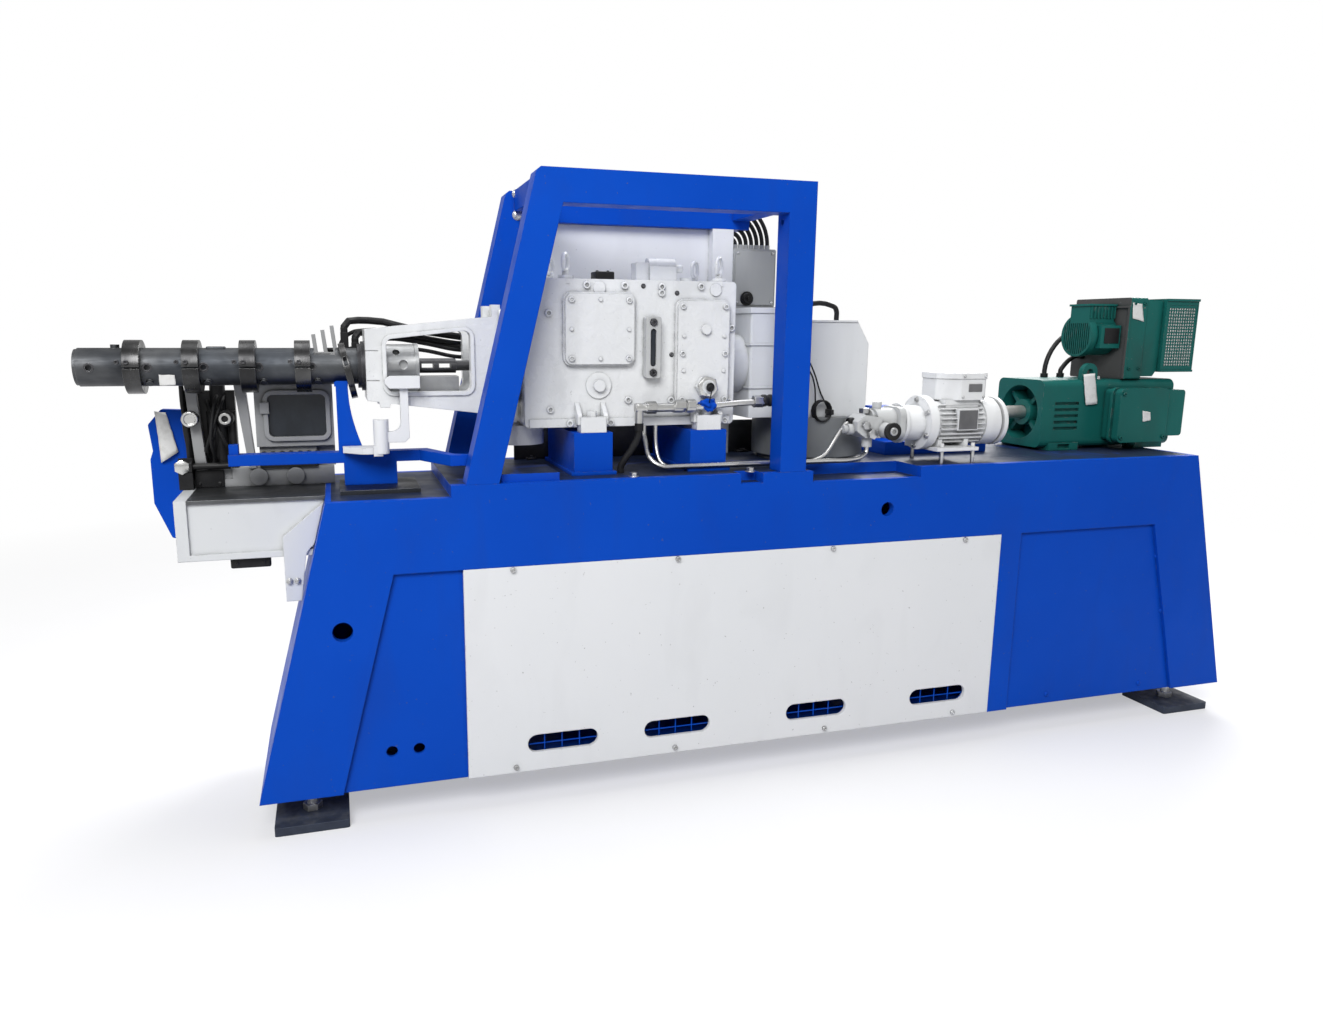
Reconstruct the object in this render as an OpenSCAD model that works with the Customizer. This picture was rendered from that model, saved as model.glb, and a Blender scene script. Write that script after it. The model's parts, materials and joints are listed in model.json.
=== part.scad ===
// Plastic extruder: a fabricated base with an open upper frame, a cast gearbox on two pedestals,
// an open lantern casting, a banded steel barrel over a slide beam, an oil pump set and a DC motor.
// X runs along the machine towards the motor, Y runs from the front to the back, Z is up.
// The origin lies on the floor, under the middle of the machine. All sizes are in millimetres.

/* [Base] */
// Place of the base's left bottom corner along the machine
base_x = -1196; // [-1240:1:-1150]
// Width of the base over both side plates
base_w = 440; // [420:1:520]
// Height of the base's bottom edge above the floor
foot_h = 82; // [60:1:110]
// Height of the base from its bottom edge to the deck
base_h = 695; // [650:1:740]
// How far each end leans in from the bottom edge to the deck
end_lean = 180; // [100:1:220]
// Thickness of a side plate
side_t = 20; // [16:1:30]
// Thickness of the deck, end and floor plates
plate_t = 12; // [8:1:20]
// Depth of the recesses in a side plate
recess_d = 10; // [6:1:13]
// Height of the recesses above the base's bottom edge
recess_h = 503; // [450:1:540]
// Width of the rim between a leaning end and its recess
rim_w = 178; // [120:1:200]
// Length of the ledge under the barrel, along the bottom edge
ledge_l = 438; // [400:1:480]
// Drop of the ledge and of the pocket below the deck
ledge_drop = 27; // [15:1:40]
// Gap between the frame's post and the pocket
pocket_gap = 21; // [10:1:40]
// Length of the pocket in front of the pump
pocket_l = 307; // [250:1:330]
// Depth of the pocket from the front face
pocket_w = 115; // [80:1:130]
// Length of the base right of the pocket, along the bottom edge
drive_l = 1083; // [1000:1:1200]
// Width of the cable notch beside the post
notch_w = 58; // [30:1:60]
// Depth of the cable notch below the deck
notch_d = 24; // [10:1:26]

/* [Side panels] */
// Distance from the base's left bottom corner to the side panel
panel_inset = 460; // [430:1:480]
// Length of a side panel
panel_l = 1430; // [1380:1:1450]
// Width of the rib between the side panel and the right recess
rib_w = 64; // [40:1:90]
// Places of the ventilation slots along the panel
slot_places = [227, 517, 900, 1265];
// Length of a ventilation slot
slot_l = 172; // [120:1:200]
// Height of a ventilation slot
slot_h = 44; // [30:1:60]
// Height of the slots' centre line above the base's bottom edge
slot_z = 68; // [50:1:90]

/* [Feet] */
// Side of a square foot pad
pad_w = 162; // [120:1:170]
// Thickness of a foot pad
pad_t = 20; // [12:1:30]
// Distance from the base's end to the middle of a foot
foot_inset = 108; // [90:1:150]
// Distance from the centre plane to the middle of a foot
foot_y = 136; // [100:1:138]
// Diameter of a levelling bolt
level_d = 24; // [16:1:30]

/* [Upper frame] */
// Gap between the ledge and the foot of the leaning leg
leg_gap = 33; // [25:1:50]
// Length of the frame from the leg's foot to the post's right face
frame_l = 830; // [800:1:900]
// Height of the frame's top above the deck
frame_h = 678; // [600:1:760]
// Depth of the frame's box section
frame_t = 60; // [40:1:70]
// Height of the frame's top beam
beam_h = 72; // [50:1:90]
// Width of the leaning leg
leg_w = 74; // [50:1:90]
// Width of the upright post
post_w = 69; // [50:1:90]
// How far the leaning leg leans
leg_lean = 168; // [120:1:200]
// Width of the rear column
column_w = 60; // [40:1:70]
// Distance from the rear column's left face to the post's right face
column_gap = 105; // [90:1:120]
// Thickness of the back panel
back_t = 6; // [3:1:10]
// Width of the junction box
box_l = 126; // [100:1:140]
// Height of the junction box
box_h = 154; // [120:1:180]
// Depth of the junction box
box_w = 62; // [40:1:70]
// Gap from the junction box to the frame's top beam
box_gap = 49; // [30:1:70]
// Diameter of a cable at the junction box
cable_d = 11; // [8:1:12]
// Pitch of the cables
cable_pitch = 16; // [14:1:18]

/* [Gearbox] */
// Distance from the ledge to the gearbox
gear_inset = 189; // [170:1:210]
// Distance from the gearbox's left face to the square cover
square_inset = 95; // [60:1:110]
// Width of the square cover
square_w = 167; // [140:1:190]
// Height of the square cover
square_h = 162; // [140:1:180]
// Gap between a cover and the oil gauge
gauge_gap = 26; // [20:1:40]
// Width of the oil gauge
gauge_w = 38; // [30:1:44]
// Height of the oil gauge
gauge_h = 144; // [120:1:170]
// Gap between the oil gauge and the tall cover
tall_gap = 46; // [30:1:60]
// Width of the tall cover
tall_w = 132; // [110:1:150]
// Height of the tall cover
tall_h = 247; // [220:1:270]
// Distance from the tall cover to the gearbox's right face
tall_inset = 22; // [15:1:40]
// Depth of the gearbox
gear_w = 210; // [200:1:230]
// Height of the gearbox body
gear_h = 343; // [320:1:380]
// Height of a cast pad under a cover
pad_h = 10; // [6:1:14]
// Thickness of a cover
cover_t = 6; // [4:1:10]
// Height of a pedestal
ped_h = 100; // [80:1:130]
// Width of a pedestal along the machine
ped_w = 94; // [80:1:110]
// Depth of a pedestal
ped_d = 284; // [270:1:300]
// Height of the gearbox's underside above the pedestals
gear_gap = 11; // [6:1:20]
// Diameter of the thrust bearing's sump below the gearbox
sump_d = 120; // [100:1:160]
// Inside diameter of a lifting eye
eye_d = 30; // [20:1:32]
// Thickness of a lifting eye
eye_t = 9; // [8:1:14]

/* [Lantern] */
// Height of the barrel's axis above the deck
axis_h = 253; // [245:1:262]
// Distance from the gearbox to the lantern's barrel face
lantern_l = 353; // [330:1:380]
// Width of the lantern over both walls
lantern_w = 164; // [150:1:180]
// Thickness of the lantern's barrel flange
lantern_flange_t = 34; // [25:1:45]
// Thickness of the lantern's gearbox flange
lantern_back_t = 38; // [30:1:50]
// Length of the spigot between the lantern and the gearbox
spigot_l = 16; // [8:1:25]
// Thickness of a lantern wall
arm_t = 26; // [18:1:34]
// Height of the window's lower edge below the axis
window_low = 56; // [50:1:62]
// Height of the window's upper edge above the axis, at the barrel end
window_high = 61; // [55:1:66]
// How far the arms spread from the barrel end to the gearbox end
arm_spread = 31; // [10:1:40]
// Width of the raised rim round the window
window_rim = 9; // [5:1:12]

/* [Barrel] */
// Outside diameter of the barrel
barrel_d = 82; // [78:1:98]
// Bore of the barrel
barrel_bore = 45; // [30:1:60]
// Length of the barrel in front of the lantern
barrel_l = 594; // [560:1:620]
// Outside diameter of a clamp band
band_d = 116; // [106:1:122]
// Width of a clamp band
band_w = 33; // [20:1:40]
// Pitch of the clamp bands
band_pitch = 115; // [100:1:125]
// Distance from the barrel's end to the first clamp band
band_inset = 98; // [80:1:120]
// Pitch of the holes in the barrel
hole_pitch = 111.5; // [100:0.5:120]
// Distance from the barrel's end to the first hole
hole_inset = 32; // [20:1:45]
// Diameter of a hole in the barrel
hole_d = 13; // [8:1:16]
// Length of the barrel's flange
flange_l = 16; // [14:1:30]
// Diameter of the barrel's flange
flange_d = 112; // [104:1:126]
// Outside diameter of the loose clamp ring
ring_d = 128; // [122:1:136]
// How far the loose clamp ring hangs below the barrel's axis
ring_drop = 11; // [2:1:14]
// Width of the loose clamp ring
ring_w = 14; // [12:1:20]
// Tilt of the loose clamp ring
ring_tilt = 12; // [10:1:22]
// Outside diameter of the feed cylinder
feed_d = 100; // [96:1:110]
// Length of the feed cylinder inside the lantern
feed_l = 86; // [70:1:100]
// Diameter of the drive shaft at its slotted end
shaft_d = 34; // [28:1:40]
// Length of the slotted end outside the feed cylinder
shaft_l = 88; // [70:1:100]
// Diameter of the drive shaft at the gearbox
shaft_neck_d = 24; // [20:1:27]

/* [Slide beam] */
// Length of the beam in front of the base, along its top
beam_l = 310; // [280:1:340]
// Width of the beam
beam_w = 234; // [200:1:260]
// Height of the beam
slide_h = 133; // [110:1:160]
// Thickness of the beam's end plate
end_plate_t = 25; // [15:1:35]
// Thickness of the dark rail plate on the beam
rail_t = 8; // [5:1:12]
// Thickness of the beam's flange
beam_flange_t = 14; // [8:1:18]
// Height of the guard bar above the ledge
bar_lift = 62; // [50:1:70]
// Height of the guard bar's section
bar_h = 25; // [18:1:30]
// Thickness of the dark plate on the ledge
ledge_plate_t = 10; // [6:1:14]

/* [Head unit] */
// Distance from the beam's end to the head unit's casting
head_inset = 104; // [90:1:130]
// Length of the head unit's casting
head_l = 228; // [200:1:240]
// Distance from the centre plane to the head unit's front
head_y = 60; // [58:1:66]
// Height of the head unit's casting
head_h = 43; // [36:1:50]
// Width of the window plate
window_w = 174; // [150:1:180]
// Height of the window plate
window_h = 144; // [120:1:146]
// Thickness of the window plate
window_t = 24; // [18:1:30]
// Width of the glass
glass_w = 128; // [110:1:132]
// Height of the glass
glass_h = 98; // [84:1:100]

/* [Coupling guard] */
// Gap between the gearbox and the guard
guard_gap = 72; // [40:1:80]
// Length of the guard's tall part
guard_l = 71; // [60:1:110]
// Length of the guard's long part
guard_long_l = 257; // [230:1:280]
// Height of the guard's tall part
guard_h = 279; // [250:1:290]
// Height of the guard's long part
guard_long_h = 249; // [230:1:265]
// Width of the guard's tall part
guard_w = 170; // [150:1:180]
// Width of the guard's long part
guard_long_w = 200; // [190:1:210]
// Width of the slanted corner of the long part
guard_slant = 36; // [20:1:50]
// Diameter of the round pedestal under the guard
drum_d = 300; // [270:1:310]
// Height of the pedestal's lower step
drum_step = 14; // [8:1:20]

/* [Drive motor] */
// Distance from the base's right bottom corner to the motor's drive end
motor_inset = 556; // [530:1:580]
// Length of the motor body
motor_l = 470; // [440:1:500]
// Side of the square motor body
motor_w = 196; // [180:1:206]
// Height of the motor's feet
motor_foot_h = 8; // [4:1:15]
// Distance of the motor's axis behind the centre plane
motor_y = 77; // [60:1:90]
// Diameter of the motor shaft
motor_shaft_d = 38; // [28:1:42]
// Length of the bare shaft in front of the motor's flange
motor_shaft_l = 100; // [80:1:120]
// Diameter of the opening in the motor's flange
flange_bore_d = 158; // [130:1:164]
// Diameter of the bearing hub in the opening
hub_d = 76; // [60:1:90]
// Depth of the opening
flange_depth = 60; // [40:1:80]
// Height of the blue plinth beside the motor
plinth_h = 36; // [20:1:45]
// Width of the terminal box
term_l = 200; // [160:1:250]
// Height of the terminal box
term_h = 150; // [120:1:160]
// Depth of the terminal box
term_w = 70; // [50:1:80]

/* [Blower] */
// Distance from the motor's drive end to the fan casing
blower_inset = 281; // [260:1:320]
// Length of the fan casing along the machine
blower_l = 60; // [50:1:90]
// Depth of the fan casing
blower_w = 217; // [190:1:220]
// Height of the fan casing
blower_h = 236; // [220:1:250]
// Diameter of the fan motor
fan_d = 124; // [110:1:134]
// Length of the fan motor
fan_l = 98; // [80:1:130]
// Length of the intake duct
intake_l = 64; // [50:1:90]
// Length of the air filter
filter_l = 120; // [90:1:125]
// Depth of the air filter
filter_w = 164; // [140:1:180]
// Height of the air filter
filter_h = 202; // [180:1:215]
// Width of the filter's frame
filter_rim = 12; // [8:1:16]
// Pitch of the filter's wire grille
grille_pitch = 9; // [8:1:14]
// Width of a wire in the grille
grille_wire = 3; // [2:0.5:4]

/* [Pump set] */
// Gap between the coupling guard and the pump motor's flange
pump_gap = 143; // [130:1:180]
// Height of the pump motor's axis above the deck
pump_h = 103; // [95:1:120]
// Distance of the pump's axis in front of the centre plane
pump_y = 120; // [110:1:130]
// Diameter of the pump motor over its fins
pump_motor_d = 132; // [120:1:140]
// Depth of the pump motor's fins
fin_h = 9; // [5:1:12]
// Length of the pump motor's finned body
pump_motor_l = 150; // [130:1:170]
// Diameter of the pump motor's flange
pump_flange_d = 142; // [130:1:150]
// Thickness of the pump motor's flange
pump_flange_t = 25; // [15:1:30]
// Length of the bell between the pump and its motor
bell_l = 60; // [50:1:70]
// Diameter of the bell
bell_d = 92; // [80:1:100]
// Length of the pump's gear body
pump_body_l = 74; // [60:1:90]
// Length of the pump's valve block
valve_l = 62; // [50:1:75]
// Diameter of the oil tubes
tube_d = 12; // [8:1:14]

/* [Clearances] */
// Gap round a turning shaft in its seat
shaft_gap = 1; // [0.5:0.1:1.5]
// Gap between pieces that lie inside one another
fit_gap = 0.3; // [0.2:0.1:0.5]

/* [Hidden] */
$fn = 48;
eps = 0.01;
blue = "royalblue";
white = "whitesmoke";
steel = "dimgray";
green = "darkgreen";
black = "#202020";
dark = "#404448";

lean = end_lean / base_h;
deck_z = foot_h + base_h;
ledge_z = deck_z - ledge_drop;
half_w = base_w / 2;
inner_w = half_w - side_t;
recess_z = foot_h + recess_h;
panel_x = base_x + panel_inset;
panel_x1 = panel_x + panel_l;
ledge_x = base_x + ledge_l;
leg_x = ledge_x + leg_gap;
post_x = leg_x + frame_l;
pocket_x = post_x + pocket_gap;
pocket_x1 = pocket_x + pocket_l;
base_x1 = pocket_x1 + drive_l;
frame_z = deck_z + frame_h;
under_z = frame_z - beam_h;
column_x = post_x - column_gap;
box_x = column_x + column_w;
box_z = under_z - box_gap - box_h;

axis_z = deck_z + axis_h;
ped_z = deck_z + ped_h;
gear_z = ped_z + gear_gap;
gear_top = gear_z + gear_h;
gear_x = ledge_x + gear_inset;
square_x = gear_x + square_inset;
gauge_x = square_x + square_w + gauge_gap + gauge_w / 2;
tall_x = gauge_x + gauge_w / 2 + tall_gap;
gear_x1 = tall_x + tall_w + tall_inset;
gear_front = -gear_w / 2;
square_z = gear_z + 147;
gauge_z = gear_z + 114;
tall_z = gear_z + 49;
ped_x = [gear_x + 109, gear_x1 - 126];

lantern_x = gear_x - lantern_l;
lantern_x1 = gear_x - spigot_l - lantern_back_t;
lantern_half = lantern_w / 2;
feed_x = lantern_x + lantern_flange_t;
feed_x1 = feed_x + feed_l;
barrel_x = lantern_x - barrel_l;
flange_x = lantern_x - flange_l;
ring_x = flange_x - 22;

beam_x = base_x + (ledge_z - foot_h) * lean - beam_l;
beam_z = ledge_z - slide_h;
beam_half = beam_w / 2;
bar_z = ledge_z + bar_lift;
bar_top = bar_z + bar_h;
bar_y = [-45, -10];
plate_x = lantern_x - 69;
head_x = beam_x + head_inset;
window_x = head_x + 58;
window_z = ledge_z + 92;

guard_x = max(gear_x1 + guard_gap, post_x - post_w - 7);
guard_mid = guard_x + guard_l;
guard_x1 = guard_mid + guard_long_l;
guard_z = gear_z + 6;
guard_y = 40;
drum_x = guard_x1 - 107;
drum_y = 60;

motor_x = base_x1 - motor_inset;
motor_x1 = motor_x + motor_l;
motor_z = deck_z + motor_foot_h + motor_w / 2;
motor_top = motor_z + motor_w / 2;
motor_front = motor_y - motor_w / 2;
term_x = motor_x + 207;
term_z = motor_z - 78;
blower_x = motor_x + blower_inset;
blower_z = motor_top;
fan_z = blower_z + 126;
filter_x = blower_x + blower_l + intake_l;
filter_z = blower_z + 26;

pump_x = guard_x1 + pump_gap;
pump_z = deck_z + pump_h;
pump_x1 = pump_x + pump_motor_l;
bell_x = pump_x - pump_flange_t - bell_l;
valve_x = bell_x - pump_body_l - valve_l;

function end_left(z) = base_x + (z - foot_h) * lean;
function end_right(z) = base_x1 - (z - foot_h) * lean;
function leg_at(z) = leg_x + (z - deck_z) * leg_lean / frame_h;

// A box between two ends on each axis
module box(x, y, z) {
  translate([x[0], y[0], z[0]])
    cube([x[1] - x[0], y[1] - y[0], z[1] - z[0]]);
}

module rod_x(x, y, z, d) {
  translate([x[0], y, z])
    rotate([0, 90, 0])
      cylinder(d = d, h = x[1] - x[0]);
}

module rod_y(x, y, z, d) {
  translate([x, y[0], z])
    rotate([-90, 0, 0])
      cylinder(d = d, h = y[1] - y[0]);
}

module rod_z(x, y, z, d) {
  translate([x, y, z[0]])
    cylinder(d = d, h = z[1] - z[0]);
}

// A plate drawn in X and Z and thick along Y
module plate_xz(y) {
  translate([0, y[1], 0])
    rotate([90, 0, 0])
      linear_extrude(y[1] - y[0])
        children();
}

// A plate drawn in Y and Z and thick along X
module plate_yz(x) {
  translate([x[0], 0, 0])
    rotate([90, 0, 90])
      linear_extrude(x[1] - x[0])
        children();
}

// A plate drawn in X and Y and thick along Z
module plate_xy(z) {
  translate([0, 0, z[0]])
    linear_extrude(z[1] - z[0])
      children();
}

module round_rect(x, z, r) {
  w = x[1] - x[0];
  h = z[1] - z[0];
  translate([x[0], z[0]]) {
    translate([r, 0])
      square([w - 2 * r, h]);
    translate([0, r])
      square([w, h - 2 * r]);
    for (i = [r, w - r], j = [r, h - r])
      translate([i, j])
        circle(r);
  }
}

module both_sides() {
  children();
  mirror([0, 1, 0])
    children();
}

function unit(v) = v / norm(v);

// The points of a fillet at corner b, between its neighbours a and c
function fillet(a, b, c, r, n) =
  let (
    u = unit(a - b),
    v = unit(c - b),
    half = acos(u * v) / 2,
    p = b + u * r / tan(half),
    q = b + v * r / tan(half),
    m = b + unit(u + v) * r / sin(half)
  )
  [for (i = [0 : n]) m + r * unit(p + (q - p) * i / n - m)];

// An outline with every corner rounded by the same radius
function rounded(p, r, n = 5) =
  let (last = len(p))
  [for (i = [0 : last - 1]) each fillet(p[(i + last - 1) % last], p[i], p[(i + 1) % last], r, n)];

// The direction of a smooth line at its point i; the nearer neighbour counts more
function bearing(p, i) =
  let (
    a = p[i] - p[max(i - 1, 0)],
    b = p[min(i + 1, len(p) - 1)] - p[i]
  )
  i == 0 ? unit(b) : i == len(p) - 1 ? unit(a) : unit(a * norm(b) / norm(a) + b * norm(a) / norm(b));

function spline(p, n) = [
  for (i = [0 : len(p) - 2], k = [0 : n - 1])
    let (
      reach = norm(p[i + 1] - p[i]) / 3,
      a = p[i] + reach * bearing(p, i),
      b = p[i + 1] - reach * bearing(p, i + 1),
      t = k / n,
      u = 1 - t
    )
    u * u * u * p[i] + 3 * u * u * t * a + 3 * u * t * t * b + t * t * t * p[i + 1],
  p[len(p) - 1]
];

// A round hose or tube along a smooth line through a few points
module hose(points, d, n = 4, sides = 10, side = [0, 1, 0]) {
  p = spline(points, n);
  last = len(p) - 1;
  rings = [
    for (i = [0 : last])
      let (
        t = unit(p[min(i + 1, last)] - p[max(i - 1, 0)]),
        u = unit(cross(side, t)),
        v = cross(t, u)
      )
      for (k = [0 : sides - 1])
        p[i] + d / 2 * (cos(360 * k / sides) * u + sin(360 * k / sides) * v)
  ];
  walls = [
    for (i = [0 : last - 1], k = [0 : sides - 1])
      let (a = i * sides, b = (k + 1) % sides)
      [a + k, a + sides + k, a + sides + b, a + b]
  ];
  start = [for (k = [0 : sides - 1]) k];
  finish = [for (k = [sides - 1 : -1 : 0]) last * sides + k];
  polyhedron(rings, concat(walls, [start, finish]), convexity = 6);
}

slot_x = [for (x = slot_places) if (x + slot_l / 2 + 20 < panel_l) panel_x + x];

module slot_outline(x, grow = 0) {
  l = slot_l + 2 * grow;
  h = slot_h + 2 * grow;
  z = foot_h + slot_z;
  round_rect([x - l / 2, x + l / 2], [z - h / 2, z + h / 2], h / 2 - eps);
}

module recess_left() {
  polygon([
    [end_left(foot_h) + rim_w, foot_h - 1],
    [panel_x + eps, foot_h - 1],
    [panel_x + eps, recess_z],
    [end_left(recess_z) + rim_w, recess_z]
  ]);
}

module recess_right() {
  polygon([
    [panel_x1 + rib_w, foot_h - 1],
    [end_right(foot_h) - rim_w, foot_h - 1],
    [end_right(recess_z) - rim_w, recess_z],
    [panel_x1 + rib_w, recess_z]
  ]);
}

// A side plate with two leaning recesses, a pocket for the white panel and the drilled holes
module side_plate() {
  cut = [-half_w - 1, -half_w + recess_d];
  through = [-half_w - 1, -inner_w + 1];
  difference() {
    plate_xz([-half_w, -inner_w])
      polygon([
        [base_x, foot_h],
        [base_x1, foot_h],
        [end_right(deck_z), deck_z],
        [ledge_x, deck_z],
        [ledge_x, ledge_z],
        [end_left(ledge_z), ledge_z]
      ]);
    plate_xz(cut)
      recess_left();
    plate_xz(cut)
      recess_right();
    box([panel_x, panel_x1], cut, [foot_h - 1, recess_z]);
    for (x = slot_x)
      plate_xz(through)
        slot_outline(x, 6);
    rod_y(end_left(foot_h) + 195, through, foot_h + 381, 44);
    rod_y(panel_x - 171, through, foot_h + 86, 26);
    rod_y(panel_x - 110, through, foot_h + 86, 26);
  }
}

notch_x = post_x - post_w - 44 - notch_w;

module base_front_side() {
  through = [-half_w - 1, -inner_w + 1];
  color(blue)
    difference() {
      side_plate();
      box([pocket_x, pocket_x1], through, [ledge_z, deck_z + 1]);
      box([notch_x, notch_x + notch_w], through, [deck_z - notch_d, deck_z + 1]);
      rod_y(pocket_x1 - 92, through, foot_h + 589, 36);
    }
}

module base_rear_side() {
  color(blue)
    mirror([0, 1, 0])
      side_plate();
}

// The deck, the lower ledge, the pocket's walls and a raised mounting pad
module base_deck() {
  back = -half_w + pocket_w;
  low = ledge_z - plate_t;
  color(blue) {
    difference() {
      union() {
        box([ledge_x, end_right(deck_z) - plate_t], [-inner_w, inner_w], [deck_z - plate_t, deck_z]);
        box([notch_x - 8, notch_x + notch_w + 8], [-inner_w, -inner_w + 38],
          [deck_z - notch_d - 8, deck_z - 1]);
      }
      box([pocket_x, pocket_x1], [-inner_w - 1, back], [low, deck_z + 1]);
      box([notch_x, notch_x + notch_w], [-inner_w - 1, -inner_w + 30], [deck_z - notch_d, deck_z + 1]);
    }
    box([end_left(ledge_z) + plate_t, ledge_x + plate_t], [-inner_w, inner_w], [low, ledge_z]);
    box([ledge_x, ledge_x + plate_t], [-inner_w, inner_w], [low, deck_z]);
    box([pocket_x, pocket_x1], [-inner_w, back], [low, ledge_z]);
    box([pocket_x, pocket_x1], [back, back + plate_t], [low, deck_z]);
    for (x = [pocket_x - plate_t, pocket_x1])
      box([x, x + plate_t], [-inner_w, back + plate_t], [low, deck_z]);
    box([leg_x + leg_w + 8, leg_x + leg_w + 142], [-inner_w, -60], [deck_z - 1, deck_z + 18]);
  }
}

module end_sheet(top) {
  polygon([
    [end_left(foot_h), foot_h],
    [end_left(foot_h) + plate_t, foot_h],
    [end_left(top) + plate_t, top],
    [end_left(top), top]
  ]);
}

// The two leaning ends and the floor plate, welded together
module base_ends() {
  color(blue) {
    plate_xz([-inner_w, inner_w])
      end_sheet(ledge_z);
    translate([base_x + base_x1, 0, 0])
      mirror([1, 0, 0])
        plate_xz([-inner_w, inner_w])
          end_sheet(deck_z);
    box([end_left(foot_h) + plate_t / 2, end_right(foot_h) - plate_t / 2], [-inner_w, inner_w],
      [foot_h, foot_h + plate_t]);
  }
}

module side_panels() {
  color(white)
    both_sides()
      difference() {
        box([panel_x, panel_x1], [-half_w, -half_w + recess_d], [foot_h, recess_z]);
        for (x = slot_x)
          plate_xz([-half_w - 1, -half_w + recess_d + 1])
            slot_outline(x);
      }
}

module foot_places() {
  for (x = [base_x + foot_inset, base_x1 - foot_inset], y = [-foot_y, foot_y])
    translate([x, y, 0])
      children();
}

module foot_pads() {
  color(black)
    foot_places()
      plate_xy([0, pad_t])
        round_rect([-pad_w / 2, pad_w / 2], [-pad_w / 2, pad_w / 2], 6);
}

module levelling_bolts() {
  nut_h = level_d * 0.6;
  color("silver")
    foot_places() {
      rod_z(0, 0, [pad_t, foot_h], level_d);
      for (z = [pad_t, foot_h - nut_h])
        translate([0, 0, z])
          cylinder(d = level_d * 1.8, h = nut_h, $fn = 6);
    }
}

module leg_outline() {
  polygon([
    [leg_at(deck_z), deck_z],
    [leg_at(deck_z) + leg_w, deck_z],
    [leg_at(under_z) + leg_w, under_z],
    [post_x, under_z],
    [post_x, frame_z],
    [leg_at(frame_z) + 8, frame_z],
    [leg_at(frame_z - 8), frame_z - 8]
  ]);
}

module front_frame() {
  color(blue)
    difference() {
      union() {
        plate_xz([-half_w, -half_w + frame_t])
          leg_outline();
        box([post_x - post_w, post_x], [-half_w, -half_w + frame_t], [deck_z, under_z + eps]);
      }
      rod_x([post_x - post_w - 1, post_x - post_w + 12], -half_w + 38, under_z - 18, 14);
    }
}

// The rear leg and beam with the two tubes that tie both frames together
module rear_frame() {
  tube = 50;
  span = [-half_w + frame_t, half_w - frame_t + eps];
  color(blue) {
    plate_xz([half_w - frame_t, half_w])
      leg_outline();
    box([post_x - tube, post_x], span, [frame_z - tube, frame_z]);
    box([leg_at(frame_z) + 20, leg_at(frame_z) + 20 + tube], span, [frame_z - tube, frame_z]);
  }
}

module back_panel() {
  low = axis_z;
  color(white) {
    box([column_x, column_x + column_w], [half_w - frame_t, half_w], [deck_z, under_z]);
    plate_xz([half_w - 30, half_w - 30 + back_t])
      polygon([
        [leg_at(low) + leg_w, low],
        [column_x + eps, low],
        [column_x + eps, under_z],
        [leg_at(under_z) + leg_w, under_z]
      ]);
  }
}

gland_h = 12;
gland_y = half_w - 36;
cable_x = [for (i = [0 : floor((box_l - cable_pitch) / cable_pitch)]) 15 + cable_pitch * i];

module junction_box() {
  color("gray") {
    plate_xz([half_w - box_w, half_w - 4])
      round_rect([box_x, box_x + box_l], [box_z, box_z + box_h], 5);
    plate_xz([half_w - box_w - 4, half_w - box_w])
      round_rect([box_x + 5, box_x + box_l - 5], [box_z + 5, box_z + box_h - 5], 6);
    box([box_x, box_x + box_l], [half_w - box_w - 8, half_w], [box_z - 14, box_z]);
    for (x = cable_x)
      rod_z(box_x + x, gland_y, [box_z + box_h - 1, box_z + box_h + gland_h], cable_pitch - 2);
  }
}

// Cables that rise from the glands and bend over to the rear beam
module junction_cables() {
  color(black)
    difference() {
      for (x = cable_x)
        translate([box_x, gland_y, box_z + box_h + gland_h])
          rotate([90, 0, 0])
            rotate_extrude(angle = 90)
              translate([x, 0])
                circle(d = cable_d);
      box([box_x - 1, post_x], [half_w - frame_t, half_w], [under_z, frame_z]);
    }
}

// A cast foot with two tapered ribs and its bolt
module gearbox_foot(x) {
  w = 62;
  rib = 11;
  front = -ped_d / 2;
  box([x, x + w], [front, gear_front + 1], [ped_z, ped_z + 36]);
  for (i = [x - 6, x + w + 6 - rib])
    plate_yz([i, i + rib])
      polygon([
        [front + 6, ped_z + 18],
        [gear_front + 1, ped_z + 18],
        [gear_front + 1, ped_z + 70],
        [front + 6, ped_z + 38]
      ]);
  translate([x + w / 2, front + 18, ped_z + 35])
    cylinder(d = 24, h = 14, $fn = 6);
}

module gearbox_housing() {
  rim = 14;
  step = 3;
  color(white) {
    plate_xz([gear_front + rim, -gear_front - rim])
      round_rect([gear_x, gear_x1], [gear_z, gear_top - step], 10);
    both_sides() {
      plate_xz([gear_front, gear_front + rim + eps])
        round_rect([gear_x, gear_x1], [gear_z, gear_top], 10);
      for (x = ped_x)
        gearbox_foot(x + 17);
      box([gear_x + 10, gear_x1 - 10], [gear_front - 5, gear_front + 1], [gear_z, gear_z + 20]);
      rod_y(gear_x + 178, [gear_front - 4, gear_front + 1], gear_z + 97, 62);
      rod_y(gear_x + 178, [gear_front - 14, gear_front + 1], gear_z + 97, 28);
      for (x = [gear_x + 180, gear_x1 - 54])
        rod_y(x, [gear_front - 3, gear_front + 1], gear_top - 20, 30);
      plate_xz([gear_front - pad_h, gear_front + 1])
        round_rect([square_x - 4, square_x + square_w + 4], [square_z - 4, square_z + square_h + 4], 20);
      plate_xz([gear_front - pad_h, gear_front + 1])
        round_rect([tall_x - 4, tall_x + tall_w + 4], [tall_z - 4, tall_z + tall_h + 4], 20);
    }
    eye_places()
      rod_z(0, 0, [-12, 0], 42);
    rod_z(gear_x + 5, 0, [gear_z - 46, gear_z + 1], sump_d);
  }
}

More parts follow.
